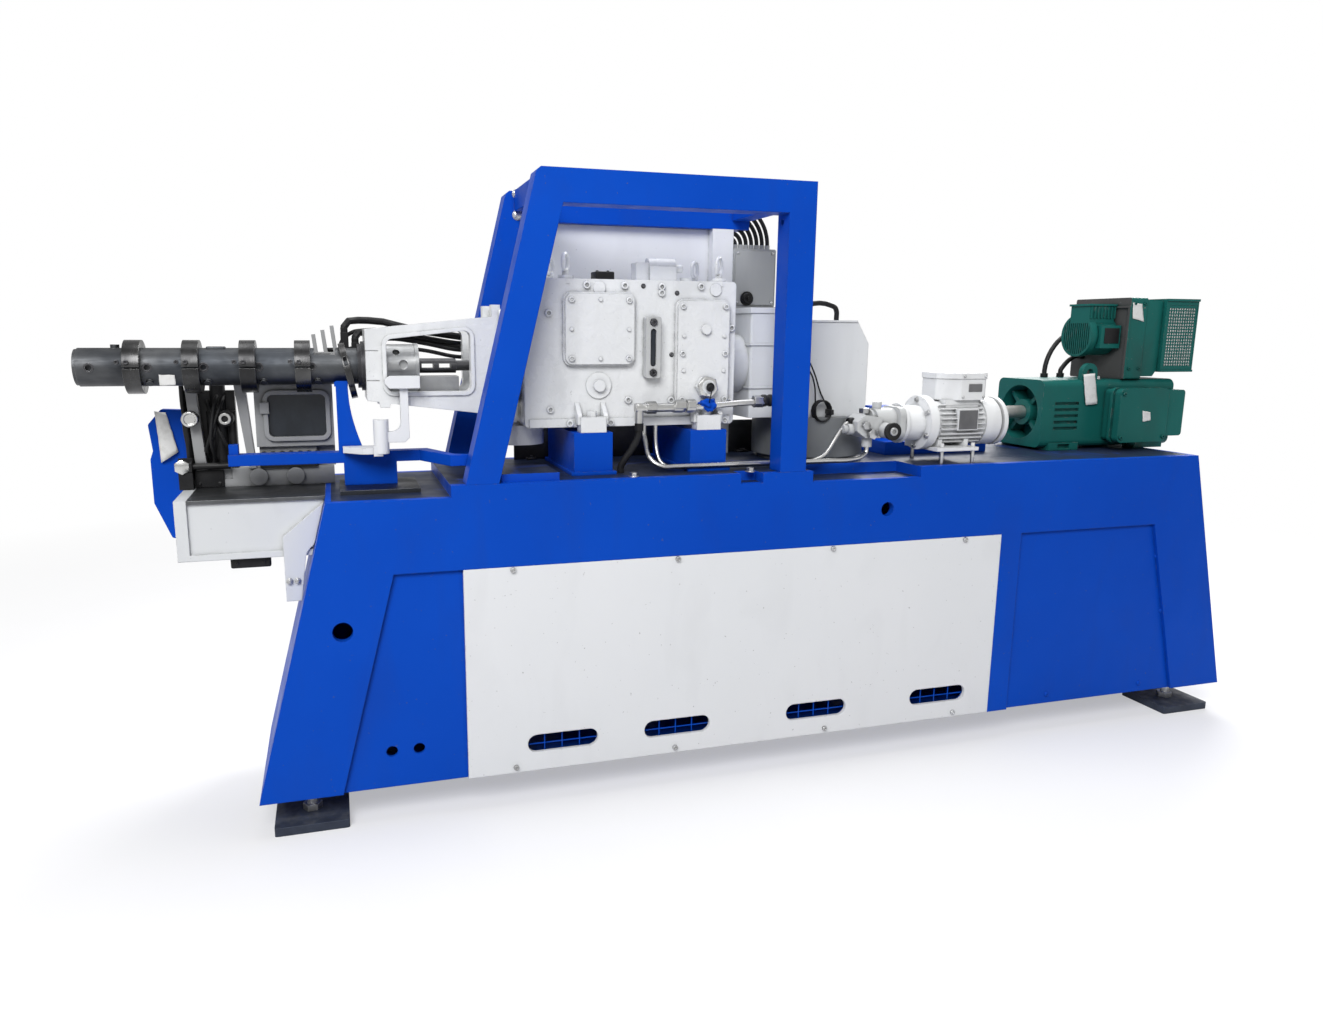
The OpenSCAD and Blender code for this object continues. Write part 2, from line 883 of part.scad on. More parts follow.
// The two front covers with their screw heads, a plug and the hexagon gland
module gearbox_covers() {
  y = [gear_front - pad_h - cover_t, gear_front - pad_h];
  head = [y[0] - 4, y[0] + 1];
  boss = [tall_x + tall_w / 2 + 5, tall_z + 44];
  color(white) {
    plate_xz(y)
      round_rect([square_x, square_x + square_w], [square_z, square_z + square_h], 17);
    plate_xz(y)
      round_rect([tall_x, tall_x + tall_w], [tall_z, tall_z + tall_h], 17);
    for (i = [14, square_w / 2, square_w - 14], j = [13, square_h - 13])
      rod_y(square_x + i, head, square_z + j, 9);
    for (i = [14, square_w - 14])
      rod_y(square_x + i, head, square_z + square_h / 2, 9);
    for (i = [14, tall_w - 14], j = [14, tall_h / 3, tall_h * 2 / 3, tall_h - 14])
      rod_y(tall_x + i, head, tall_z + j, 9);
    rod_y(tall_x + tall_w / 2 + 4, [y[0] - 8, y[0] + 1], tall_z + 180, 24);
    translate([boss[0], y[0] + 1, boss[1]])
      rotate([90, 0, 0])
        cylinder(d = 54, h = 16, $fn = 6);
    rod_y(boss[0], [y[0] - 26, y[0]], boss[1], 34);
    rod_y(boss[0], [y[0] - 38, y[0]], boss[1], 18);
  }
}

module oil_gauge() {
  half = gauge_w / 2;
  y = [gear_front - 24, gear_front];
  color("silver")
    difference() {
      plate_xz(y)
        round_rect([gauge_x - half, gauge_x + half], [gauge_z, gauge_z + gauge_h], 6);
      plate_xz([y[0] - 1, y[0] + 8])
        round_rect([gauge_x - 7, gauge_x + 7], [gauge_z + 28, gauge_z + gauge_h - 28], 6.9);
      for (z = [13, gauge_h - 13])
        rod_y(gauge_x, [y[0] - 1, y[0] + 3], gauge_z + z, 18);
    }
}

module eyebolt(turn) {
  r = (eye_d + eye_t) / 2;
  cylinder(d = 36, h = 8);
  cylinder(d = 16, h = 20);
  translate([0, 0, r + eye_t / 2 + 13])
    rotate([90, 0, turn])
      rotate_extrude()
        translate([r, 0])
          circle(d = eye_t);
}

module eye_places() {
  for (x = [gear_x + 104, gear_x1 - 38], y = [gear_front + 20, -gear_front - 25])
    translate([x, y, gear_top])
      children();
}

module eyebolts() {
  color(white)
    for (at = [[gear_x + 104, 58], [gear_x1 - 38, 48]], y = [gear_front + 20, -gear_front - 25])
      translate([at[0], y, gear_top])
        eyebolt(at[1]);
}

// A small valve with its connector, a plug and a low block on top of the gearbox
module gearbox_fittings() {
  x = gauge_x - 16;
  z = gear_top - 3;
  y = -20;
  color("gray") {
    box([x, x + 34], [y - 18, y + 22], [z, z + 48]);
    box([x + 33, x + 102], [y - 26, y + 26], [z, z + 40]);
    rod_x([x + 33, x + 102], y, z + 40, 40);
    rod_x([x + 101, x + 122], y - 4, z + 36, 20);
    box([gear_x + 190, gear_x + 233], [y - 22, y + 22], [z, z + 22]);
    rod_z(gear_x1 - 100, y, [z, z + 14], 30);
  }
}

module gearbox_pedestals() {
  flange = 8;
  color(blue)
    for (x = ped_x) {
      box([x, x + ped_w], [-ped_d / 2, ped_d / 2], [deck_z, ped_z]);
      box([x - flange, x + ped_w + flange], [-ped_d / 2 - flange, ped_d / 2 + flange],
        [deck_z, deck_z + flange]);
    }
}

// The window in a lantern wall, grown by a margin
function lantern_window(grow) =
  let (x0 = lantern_x + 45 - grow, x1 = lantern_x1 - 66 + grow)
  [
    [x0, axis_z - window_low - grow],
    [x1, axis_z - window_low - grow],
    [x1, axis_z + window_high + grow + arm_spread * 0.7],
    [x0, axis_z + window_high + grow]
  ];

module lantern_wall() {
  low = lantern_half - 7;
  x = lantern_x;
  difference() {
    polygon([
      [x, axis_z - low],
      [x + 26, axis_z - low - 3],
      [x + 28, axis_z - low - 16],
      [x + 48, axis_z - low - 16],
      [x + 51, axis_z - low - 7],
      [lantern_x1 + eps, axis_z - low - 7 - arm_spread],
      [lantern_x1 + eps, axis_z + lantern_half + 2 + arm_spread],
      [x, axis_z + lantern_half + 2]
    ]);
    polygon(rounded(lantern_window(0), 14));
  }
}

// An open casting: a drilled barrel flange, two windowed walls, a floor web and a back flange
module lantern() {
  high = lantern_half + arm_spread + 18;
  front = [lantern_x, feed_x];
  color(white)
    difference() {
      union() {
        both_sides() {
          plate_xz([-lantern_half, -lantern_half + arm_t])
            lantern_wall();
          plate_xz([-lantern_half - 4, -lantern_half + 1])
            difference() {
              polygon(rounded(lantern_window(window_rim), 14 + window_rim));
              polygon(rounded(lantern_window(0), 14));
            }
          box([lantern_x1 - 16, lantern_x1 + 4], [-lantern_half, -lantern_half + arm_t],
            [axis_z + lantern_half, axis_z + lantern_half + arm_spread + 27]);
        }
        plate_yz(front)
          round_rect([-lantern_half, lantern_half],
            [axis_z - lantern_half + 7, axis_z + lantern_half + 2], 8);
        box([feed_x - 1, lantern_x1 + 1], [-lantern_half + 1, lantern_half - 1],
          [axis_z - window_low - 26, axis_z - window_low - 14]);
        plate_yz([lantern_x1, lantern_x1 + lantern_back_t])
          round_rect([-lantern_half - 9, lantern_half + 9], [axis_z - high, axis_z + high], 16);
        rod_x([lantern_x1, gear_x], 0, axis_z, 2 * lantern_half + 10);
      }
      rod_x([lantern_x - 1, feed_x + 1], 0, axis_z, feed_d + 2 * fit_gap);
      rod_x([lantern_x1 - 1, gear_x + 1], 0, axis_z, shaft_neck_d + 2 * shaft_gap);
      for (z = [-30, 36])
        box([lantern_x - 1, lantern_x + 28], [-lantern_half - 1, -lantern_half + 1.5],
          [axis_z + z - 0.8, axis_z + z + 0.8]);
    }
}

// The drilled feed cylinder with its collar, and the rest under the slotted shaft
module feed_cylinder() {
  floor_z = axis_z - window_low - 14;
  color(steel) {
    difference() {
      union() {
        rod_x([lantern_x, feed_x1], 0, axis_z, feed_d);
        rod_x([feed_x1 - 9, feed_x1], 0, axis_z, feed_d + 4);
      }
      rod_x([lantern_x - 1, feed_x1 + 1], 0, axis_z, shaft_d + 2 * shaft_gap);
      for (a = [[35, 40, 16], [50, 5, 20]])
        translate([feed_x + a[0], 0, axis_z])
          rotate([-a[1], 0, 0])
            rod_y(0, [-feed_d / 2 - 3, -feed_d / 2 + 11], 0, a[2]);
    }
    box([feed_x1 + 2, feed_x1 + 92], [-28, 28], [floor_z, axis_z - shaft_d / 2 - 7]);
  }
}

module drive_shaft() {
  x0 = feed_x1 - 40;
  x1 = feed_x1 + shaft_l;
  color(steel)
    difference() {
      union() {
        rod_x([x0, x1], 0, axis_z, shaft_d);
        rod_x([x1 - 1, gear_x - 6], 0, axis_z, shaft_neck_d);
        rod_x([lantern_x1 - 40, lantern_x1 - 24], 0, axis_z, shaft_neck_d + 5);
      }
      for (x = [feed_x1 + 8, feed_x1 + 48])
        box([x, x + 28], [-shaft_d, shaft_d], [axis_z - 5, axis_z + 5]);
    }
}

hole_count = floor((barrel_l - hole_inset - flange_l - hole_d) / hole_pitch) + 1;
band_count = floor((barrel_l - band_inset - band_w - 2 * flange_l) / band_pitch) + 1;
function band_x(i) = barrel_x + band_inset + band_pitch * i;

// The barrel with its stepped end, front holes, a flat on top and small plugs below the bands
module barrel() {
  lip = 6;
  top = axis_z + barrel_d / 2;
  color(steel)
    difference() {
      union() {
        rod_x([barrel_x + lip, lantern_x], 0, axis_z, barrel_d);
        rod_x([barrel_x, barrel_x + lip + 1], 0, axis_z, barrel_d - 5);
        for (i = [0 : band_count - 1])
          translate([band_x(i) + band_w + 14, 0, axis_z])
            rotate([50, 0, 0])
              rod_y(0, [-barrel_d / 2 - 5, -barrel_d / 2 + 6], 0, 16);
        rod_z(barrel_x + band_inset - 20, 0, [top - 4, top + 7], 18);
      }
      rod_x([barrel_x - 1, lantern_x + 1], 0, axis_z, barrel_bore);
      box([band_x(band_count - 1) + band_w + 8, flange_x - 48], [-barrel_d, barrel_d],
        [axis_z + 0.32 * barrel_d, axis_z + barrel_d]);
      for (i = [0 : hole_count - 1])
        rod_y(barrel_x + hole_inset + hole_pitch * i, [-barrel_d, -barrel_d / 2 + 12], axis_z, hole_d);
    }
}

// Split clamp bands, and the loose ring that hangs tilted beside the flange
module barrel_clamps() {
  inner = 2 * (barrel_d / 2 + ring_drop + 0.7 + ring_w / 2 * sin(ring_tilt)) / cos(ring_tilt);
  color("silver") {
    for (i = [0 : band_count - 1])
      difference() {
        rod_x([band_x(i), band_x(i) + band_w], 0, axis_z, band_d);
        rod_x([band_x(i) - 1, band_x(i) + band_w + 1], 0, axis_z, barrel_d);
        box([band_x(i) - 1, band_x(i) + band_w + 1], [-band_d, 0], [axis_z - 2, axis_z + 2]);
      }
    translate([ring_x, 0, axis_z - ring_drop])
      rotate([0, -ring_tilt, 0])
        difference() {
          rod_x([-ring_w / 2, ring_w / 2], 0, 0, ring_d);
          rod_x([-ring_w, ring_w], 0, 0, inner);
          box([-4, 4], [-ring_d, 0], [14, 34]);
        }
  }
}

module barrel_flange() {
  color(dark)
    difference() {
      union() {
        rod_x([lantern_x - flange_l / 2, lantern_x], 0, axis_z, flange_d);
        rod_x([flange_x, lantern_x], 0, axis_z, flange_d - 12);
      }
      rod_x([flange_x - 1, lantern_x + 1], 0, axis_z, barrel_d);
    }
}

// A box beam with a lower flange, an end plate, a grip and a curved bracket on its front
module slide_beam() {
  x0 = beam_x + end_plate_t;
  web = beam_half - 6;
  foot = beam_z - 102;
  end = end_left(beam_z) - 60;
  color(white) {
    plate_xz([-web, web])
      polygon([
        [x0 - eps, beam_z],
        [end_left(beam_z) - fit_gap, beam_z],
        [end_left(ledge_z - rail_t) - fit_gap, ledge_z - rail_t],
        [x0 - eps, ledge_z - rail_t]
      ]);
    box([beam_x, x0], [-beam_half, beam_half], [beam_z, ledge_z]);
    plate_xz([-beam_half, beam_half])
      polygon([
        [x0 - eps, beam_z],
        [end_left(beam_z) - fit_gap, beam_z],
        [end_left(beam_z + beam_flange_t) - fit_gap, beam_z + beam_flange_t],
        [x0 - eps, beam_z + beam_flange_t]
      ]);
    plate_xz([-beam_half - 6, -web + 4])
      polygon(concat(
        [[end, beam_z + 45], [end, foot], [min(end + 43, end_left(foot) - 1), foot]],
        [for (a = [0 : 11 : 55])
     let (z = beam_z - 12 + 43 * sin(a)) [min(end + 88 - 43 * cos(a), end_left(z) - 1), z]],
        [[end_left(beam_z + 31) - 1, beam_z + 31], [end_left(ledge_z - 14) - 1, ledge_z - 14]]
      ));
    box([beam_x + 106, beam_x + 184], [-beam_half + 18, -beam_half + 30], [beam_z - 24, beam_z + 1]);
  }
}

module beam_rail() {
  color(dark)
    plate_xz([-beam_half, beam_half])
      polygon([
        [beam_x + end_plate_t, ledge_z - rail_t],
        [end_left(ledge_z - rail_t) - fit_gap, ledge_z - rail_t],
        [end_left(ledge_z) - fit_gap, ledge_z],
        [beam_x + end_plate_t, ledge_z]
      ]);
}

// The blue end plate on the far side of the beam, with a rounded head and a waist
module end_plate() {
  x = beam_x;
  color(blue)
    plate_xz([beam_half, beam_half + 24])
      polygon(rounded([
        [x - 43, axis_z - 405],
        [x + 14, beam_z],
        [x + 14, axis_z - 104],
        [x - 45, axis_z - 101],
        [x - 75, axis_z - 136],
        [x - 69, axis_z - 197],
        [x - 76, axis_z - 217],
        [x - 76, axis_z - 320]
      ], 7));
}

// The bent guard bar with its lower block, its end stop and the barrel's rest
module guard_bar() {
  x = lantern_x - 67;
  leg_y = -half_w + frame_t;
  rest_h = axis_z - bar_top - 60;
  color(blue) {
    plate_xy([bar_z, bar_top])
      polygon([
        [beam_x + 108, bar_y[0]],
        [ledge_x - 50, bar_y[0]],
        [ledge_x + 8, leg_y],
        [ledge_x + 64, leg_y],
        [ledge_x + 64, leg_y + 12],
        [ledge_x + 20, leg_y + 25],
        [ledge_x - 30, bar_y[1]],
        [beam_x + 108, bar_y[1]]
      ]);
    box([beam_x + 110, beam_x + 130], [bar_y[0] + 5, bar_y[1] - 5], [bar_top - 1, bar_top + 22]);
    box([plate_x + 12, plate_x + 130], [bar_y[0], 30], [ledge_z + ledge_plate_t, bar_z + 1]);
    difference() {
      union() {
        plate_xz(bar_y)
          polygon(concat(
            [[x, bar_top - 1]],
            [for (t = [0 : 0.125 : 1]) [x + 27 + 30 * pow(1 - t, 1.7), bar_top - 1 + t * rest_h]],
            [[x + 26, axis_z - 32], [x, axis_z - 32]]
          ));
        box([x - 3, x + 27], bar_y, [axis_z - 44, axis_z - 34]);
      }
      rod_x([x - 5, x + 60], 0, axis_z, barrel_d + 2 * fit_gap);
    }
  }
}

module ledge_plate() {
  color("#303438")
    box([plate_x, plate_x + 176], [-126, 50], [ledge_z, ledge_z + ledge_plate_t]);
}

// A white lever that stands on the guard bar and reaches up to the feed cylinder
module feed_arm() {
  y = [-lantern_half - 26, -lantern_half - 8];
  x = feed_x;
  top = bar_top;
  color(white) {
    plate_xz([y[0] - 12, y[1]])
      polygon([
        [x + 4, axis_z - 36], [x + 14, axis_z - 46], [x + 80, axis_z - 46],
        [x + 80, axis_z - 19], [x + 16, axis_z - 19], [x + 4, axis_z - 26]
      ]);
    plate_xz(y)
      polygon(concat(
        [[x + 54, axis_z - 45], [x + 36, axis_z - 45]],
        [for (a = [0 : 15 : 90]) [x + 16 + 20 * cos(a), top + 72 - 22 * sin(a)]],
        [[x - 6, top + 50], [x - 6, top + 26], [x + 44, top + 26], [x + 54, top + 36]]
      ));
    difference() {
      rod_z(x - 8, y[0] + 9, [top + 1, top + 78], 34);
      rod_z(x - 4, y[0] + 30, [top + 40, top + 79], 48);
    }
    plate_xy([top, top + 14])
      polygon([
        [x - 92, -46], [x - 92, -62], [x - 50, y[0] + 4], [x + 6, y[0] + 4],
        [x + 6, bar_y[1]], [x - 20, bar_y[1]], [x - 20, -46]
      ]);
    box([x - 26, x - 6], [y[0] - 4, y[0] + 12], [top - 4, top + 20]);
  }
}

// The grey casting of the head unit: its foot with two bosses, uprights, cradle and cable shelf
module head_casting() {
  back = beam_half - 5;
  top = window_z + window_h;
  front = head_y + 6;
  color("gray") {
    box([head_x, head_x + head_l], [front, back], [ledge_z, ledge_z + head_h]);
    for (x = [58, 140])
      rod_y(head_x + x, [front - 7, front + 1], ledge_z + 22, 40);
    plate_xz([head_y, head_y + 26])
      polygon([
        [head_x + 38, ledge_z + head_h - 1], [head_x + 54, ledge_z + head_h - 1],
        [head_x + 40, top + 1], [head_x + 16, top + 1]
      ]);
    plate_xz([head_y, head_y + 26])
      polygon([
        [head_x - 76, ledge_z + head_h - 1], [head_x - 52, ledge_z + head_h - 1],
        [head_x - 66, top + 1], [head_x - 88, top + 1]
      ]);
    box([head_x - 100, head_x + 1], [front, back], [ledge_z, ledge_z + 18]);
    box([head_x - 76, head_x + 40], [head_y + 10, back], [ledge_z + 17, ledge_z + head_h]);
    box([head_x - 164, head_x + head_l], [head_y - 10, head_y + 12], [top, top + 10]);
    box([head_x + 190, head_x + 232], [head_y + window_t, back], [ledge_z + head_h - 1, axis_z + 28]);
    box([head_x + 190, head_x + 300], [head_y + 4, back], [axis_z + 26, axis_z + 30]);
    for (i = [0 : 2])
      translate([head_x + 196 + 22 * i, head_y + 6, axis_z + 29])
        rotate([0, -6, 0])
          cube([9, 10, 42 + 10 * i]);
  }
}

module window_place(grow) {
  x = window_x + (window_w - glass_w) / 2 + 6;
  z = window_z + (window_h - glass_h) / 2;
  round_rect([x - grow, x + glass_w + grow], [z - grow, z + glass_h + grow], 12 + grow);
}

// The window plate with a raised round rim and a latch
module head_window() {
  back = beam_half - 5;
  color("gray") {
    difference() {
      union() {
        box([window_x, window_x + window_w], [head_y, head_y + window_t], [window_z, window_z + window_h]);
        plate_xz([head_y - 7, head_y + 1])
          window_place(10);
      }
      plate_xz([head_y - 8, head_y + window_t - 10])
        window_place(0);
    }
    box([window_x + 12, window_x + 32], [head_y - 12, head_y - 6], [window_z + 78, window_z + 104]);
    box([window_x + 4, window_x + window_w - 42], [head_y + 12, back], [ledge_z + head_h, window_z + 1]);
  }
}

module head_glass() {
  color("#303840")
    plate_xz([head_y + window_t - 16, head_y + window_t - 10])
      window_place(-fit_gap);
}

// Valves, rods, knobs and a row of fittings below the window
module head_fittings() {
  top = window_z + window_h;
  back = beam_half - 5;
  low = ledge_z + head_h;
  x = head_x;
  color(black) {
    box([x - 98, x + 14], [head_y + 28, back], [low, top - 14]);
    box([x - 98, x - 78], [head_y + 28, back], [ledge_z + 18, low + 1]);
    rod_z(x - 22, head_y + 30, [low, top], 34);
    for (i = [-40, 6])
      rod_z(x + i, head_y + 26, [low, top - 60], 18);
    rod_y(x - 78, [head_y - 24, head_y], axis_z - 118, 34);
    rod_y(x - 6, [head_y - 10, head_y + 30], axis_z - 120, 26);
    rod_y(x - 6, [head_y - 4, head_y + 30], axis_z - 120, 36);
    for (i = [0 : 6])
      rod_y(window_x + 14 + 20 * i, [head_y - 4, head_y + 12], low + 30, 15);
    box([window_x + 4, window_x + window_w - 42], [head_y - 2, head_y + 12], [low, low + 26]);
  }
  color(black) {
    rod_x([x - 82, x - 1], head_y - 9, low + 9, 15);
    translate([x - 112, head_y - 6, low + 9])
      rotate([0, 90, 0])
        cylinder(d = 40, h = 30, $fn = 6);
    box([x - 112, x - 82], [head_y - 20, head_y + 6], [ledge_z, low + 1]);
  }
}

// Black sleeved cables from the shelf behind the barrel to the rear leg
module cable_bundle() {
  x = head_x + 258;
  end_y = half_w - frame_t;
  color(black)
    for (i = [0, 1])
      let (
        z = axis_z + 60 - 24 * i,
        end_x = leg_at(z) + 24 + 14 * i,
        start = x + 8 + 24 * i,
        low = axis_z - 24 * i
      ) {
        box([start - 9, start + 9], [head_y + 8, head_y + 28], [axis_z + 30, low + 76]);
        hose([
          [start, head_y + 18, low + 72],
          [start, head_y + 18, low + 80],
          [start, head_y + 18, low + 88],
          [x + 66 + 12 * i, 112 + 6 * i, axis_z + 104 - 30 * i],
          [x + 170, 114 + 6 * i, axis_z + 84 - 24 * i],
          [end_x - 60, 112 + 6 * i, z + 6],
          [end_x, end_y - 30, z],
          [end_x, end_y - 15, z],
          [end_x, end_y, z]
        ], 17, n = 3, side = [1, -1, -1]);
      }
}

// The sheet guard: a tall part with two seams and a lid, a long part with a slanted corner, and a neck
module coupling_guard() {
  y = [-guard_y, -guard_y + guard_w];
  mid = (y[0] + y[1]) / 2;
  long_y = [mid - guard_long_w / 2 - 5, mid + guard_long_w / 2 - 5];
  seam = 3;
  color(white) {
    plate_xy([guard_z, guard_z + guard_h])
      polygon(rounded([[guard_x, y[0]], [guard_mid, y[0]], [guard_mid, y[1]], [guard_x, y[1]]], 6));
    for (z = [[75, 80], [184, 189], [guard_h - 14, guard_h]])
      box([guard_x - seam, guard_mid], [y[0] - seam, y[1] + seam], [guard_z + z[0], guard_z + z[1]]);
    plate_xz(long_y)
      polygon([
        [guard_mid - eps, guard_z],
        [guard_x1, guard_z],
        [guard_x1, guard_z + guard_long_h - 59],
        [guard_x1 - guard_slant, guard_z + guard_long_h],
        [guard_mid - eps, guard_z + guard_long_h]
      ]);
    box([guard_mid - 1, guard_x1 - guard_slant], [long_y[0] - seam, long_y[1] + seam],
      [guard_z + guard_long_h - 5, guard_z + guard_long_h]);
    rod_x([gear_x1, guard_x + 1], mid, axis_z, 150);
  }
}

// A bent pipe that stands with both ends on the guard
module guard_pipe() {
  z = guard_z + guard_long_h;
  x = guard_mid + 70;
  y = -guard_y;
  color(black)
    hose([
      [x, y, z], [x, y, z + 10], [x, y, z + 20], [x + 5, y, z + 32], [x + 18, y, z + 38],
      [x + 82, y, z + 38], [x + 95, y, z + 32], [x + 100, y, z + 20], [x + 100, y, z + 10], [x + 100, y, z]
    ], 13);
}

module guard_pedestal() {
  color(white) {
    rod_z(drum_x, drum_y, [deck_z + drum_step - 1, guard_z], drum_d);
    rod_z(drum_x, drum_y, [deck_z, deck_z + drum_step], drum_d - 30);
  }
}

// The pump motor's terminal box seen from above, with one cut corner
function terminal_outline(grow) =
  let (
    y = [-pump_y - 56 - grow, -pump_y + 56 + grow],
    x = [pump_x + 22 - grow, pump_x + 145 + grow]
  )
  rounded([[x[0], y[1]], [x[0], y[0] + 46], [x[0] + 45, y[0]], [x[1], y[0]], [x[1], y[1]]], 8);

// Flange, bell, finned body, fan cover, terminal box, foot plate and four thin legs
module pump_motor() {
  y = -pump_y;
  body_d = pump_motor_d - 2 * fin_h;
  foot_z = pump_z - 70;
  color(white) {
    rod_x([pump_x - pump_flange_t, pump_x], y, pump_z, pump_flange_d);
    rod_x([bell_x, pump_x - pump_flange_t + 1], y, pump_z, bell_d);
    rod_x([bell_x, bell_x + 10], y, pump_z, bell_d + 12);
    rod_x([pump_x - 1, pump_x1 + 1], y, pump_z, body_d);
    for (s = [0, 180], a = [-48 : 12 : 48])
      translate([0, y, pump_z])
        rotate([s + a, 0, 0])
          box([pump_x + 12, pump_x1 - 8], [-pump_motor_d / 2, -body_d / 2 + 2], [-1.5, 1.5]);
    rod_x([pump_x1, pump_x1 + 46], y, pump_z, pump_motor_d - 8);
    rod_x([pump_x1 + 45, pump_x1 + 54], y, pump_z, pump_motor_d - 34);
    rod_x([pump_x1 + 54, pump_x1 + 66], y, pump_z, pump_motor_d - 4);
    box([pump_x + 56, pump_x + 117], [y - pump_motor_d / 2 - 2, y - body_d / 2 + 4],
      [pump_z - 17, pump_z + 38]);
    box([pump_x + 32, pump_x + 132], [y - 44, y + 44], [pump_z + 38, pump_z + 61]);
    plate_xy([pump_z + 60, pump_z + 115])
      polygon(terminal_outline(0));
    plate_xy([pump_z + 115, pump_z + 130])
      polygon(terminal_outline(2));
    rod_x([pump_x + 144, pump_x + 162], y - 16, pump_z + 88, 20);
    box([pump_x - 5, pump_x + 120], [y - 75, y + 75], [foot_z, foot_z + 9]);
    for (i = [12, 92])
      box([pump_x + i, pump_x + i + 12], [y - 50, y + 50], [foot_z, pump_z - 40]);
    for (j = [-66, 66], i = [14, 108])
      rod_z(pump_x + i, y + j, [deck_z, foot_z + 20], 10);
  }
}

// The gear pump with its cover, valve block, ports and a round front plug
module oil_pump() {
  y = -pump_y;
  x = bell_x;
  low = pump_z - 40;
  color("lightgray") {
    plate_yz([x - 18, x])
      round_rect([y - 48, y + 48], [low, pump_z + 44], 24);
    plate_yz([x - pump_body_l, x - 17])
      round_rect([y - 34, y + 34], [low + 4, pump_z + 40], 30);
    rod_x([x - pump_body_l - 8, x - pump_body_l + 1], y, pump_z + 14, 44);
    plate_xz([y - 38, y + 26])
      polygon(rounded([
        [valve_x, low + 24], [valve_x + 26, low + 6], [x - pump_body_l + 10, low + 6],
        [x - pump_body_l + 10, pump_z + 18], [valve_x + 22, pump_z + 26], [valve_x, pump_z + 8]
      ], 6));
    rod_y(x - 56, [y - 70, y - 20], pump_z - 14, 40);
    rod_y(x - 56, [y - 78, y - 60], pump_z - 14, 22);
    rod_x([valve_x - 26, valve_x + 2], y - 10, pump_z - 12, 20);
    rod_x([valve_x - 14, valve_x + 2], y - 10, pump_z - 12, 28);
    rod_z(x - pump_body_l - 20, y - 16, [low - 18, low + 8], 26);
    rod_z(x - 60, y, [pump_z + 38, pump_z + 56], 24);
  }
}

// Two steel tubes with their unions: one along the deck, one in front of the gearbox
module oil_pipes() {
  y = gear_front - 38;
  x = pump_x - pump_flange_t - bell_l - pump_body_l - 20;
  deck_y = -half_w + frame_t + 7;
  start = deck_z + 15;
  tee = gauge_x - 39;
  line = gear_z + 45;
  guard_front = -guard_y + guard_w / 2 - guard_long_w / 2 - 5;
  color("silver") {
    hose([
      [x, -pump_y - 16, pump_z - 58], [x, -pump_y - 16, pump_z - 64], [x, -pump_y - 16, pump_z - 70],
      [x - 14, -pump_y - 22, start + 7], [x - 50, deck_y + 4, start], [x - 120, deck_y, start],
      [post_x, deck_y, start], [ped_x[1] + 40, deck_y, start], [tee + 86, deck_y, start],
      [tee + 60, deck_y, start],
      [tee + 36, deck_y + 12, start + 12], [tee + 28, deck_y + 50, gear_z - 34],
      [tee + 28, deck_y + 58, gear_z - 20], [tee + 28, deck_y + 58, gear_z - 10],
      [tee + 28, deck_y + 58, gear_z]
    ], tube_d);
    hose([
      [guard_mid + 30, guard_front, line + 15], [guard_mid + 30, guard_front - 10, line + 15],
      [guard_mid + 30, guard_front - 20, line + 15], [guard_mid + 14, y + 22, line + 14],
      [guard_mid - 30, y, line + 12], [gear_x1, y, line + 8], [tee + 140, y, line],
      [tee + 80, y, line], [tee, y, line]
    ], tube_d + 3, side = [0, 0, 1]);
    for (i = [14, 86, 118])
      rod_x([tee + i, tee + i + 22], y, line, tube_d + 14);
    rod_x([tee + 30, tee + 100], y, line, tube_d + 9);
    rod_x([tee - 10, tee + 16], y, line, tube_d + 10);
    rod_z(tee, y, [line - 36, line + 10], tube_d + 8);
  }
}

// A black hose that hangs from the tee and bends down to the deck
module oil_hose() {
  y = gear_front - 38;
  x = gauge_x - 39;
  top = gear_z + 9;
  color(black) {
    hose([
      [x, y, top], [x, y, top - 10], [x, y, top - 22], [x - 16, y + 6, deck_z + 58],
      [x - 34, y + 14, deck_z + 28], [x - 40, y + 18, deck_z + 12], [x - 40, y + 18, deck_z + 6],
      [x - 40, y + 18, deck_z]
    ], tube_d + 5);
    rod_z(x, y, [top - 18, top], tube_d + 9);
  }
}

// A low blue plinth and a block behind the pump set
module motor_plinth() {
  x0 = drum_x + drum_d / 2 + 70;
  color(blue) {
    box([x0, motor_x - motor_shaft_l - 60], [10, inner_w - 10], [deck_z, deck_z + plinth_h]);
    box([x0 + 30, x0 + 100], [110, inner_w - 20], [deck_z + plinth_h - 1, deck_z + plinth_h + 90]);
  }
}

function motor_outline(grow) =
  let (h = motor_w / 2 + grow)
  rounded([for (c = [[-h, -h], [h, -h], [h, h], [-h, h]]) [motor_y, motor_z] + c], 20);

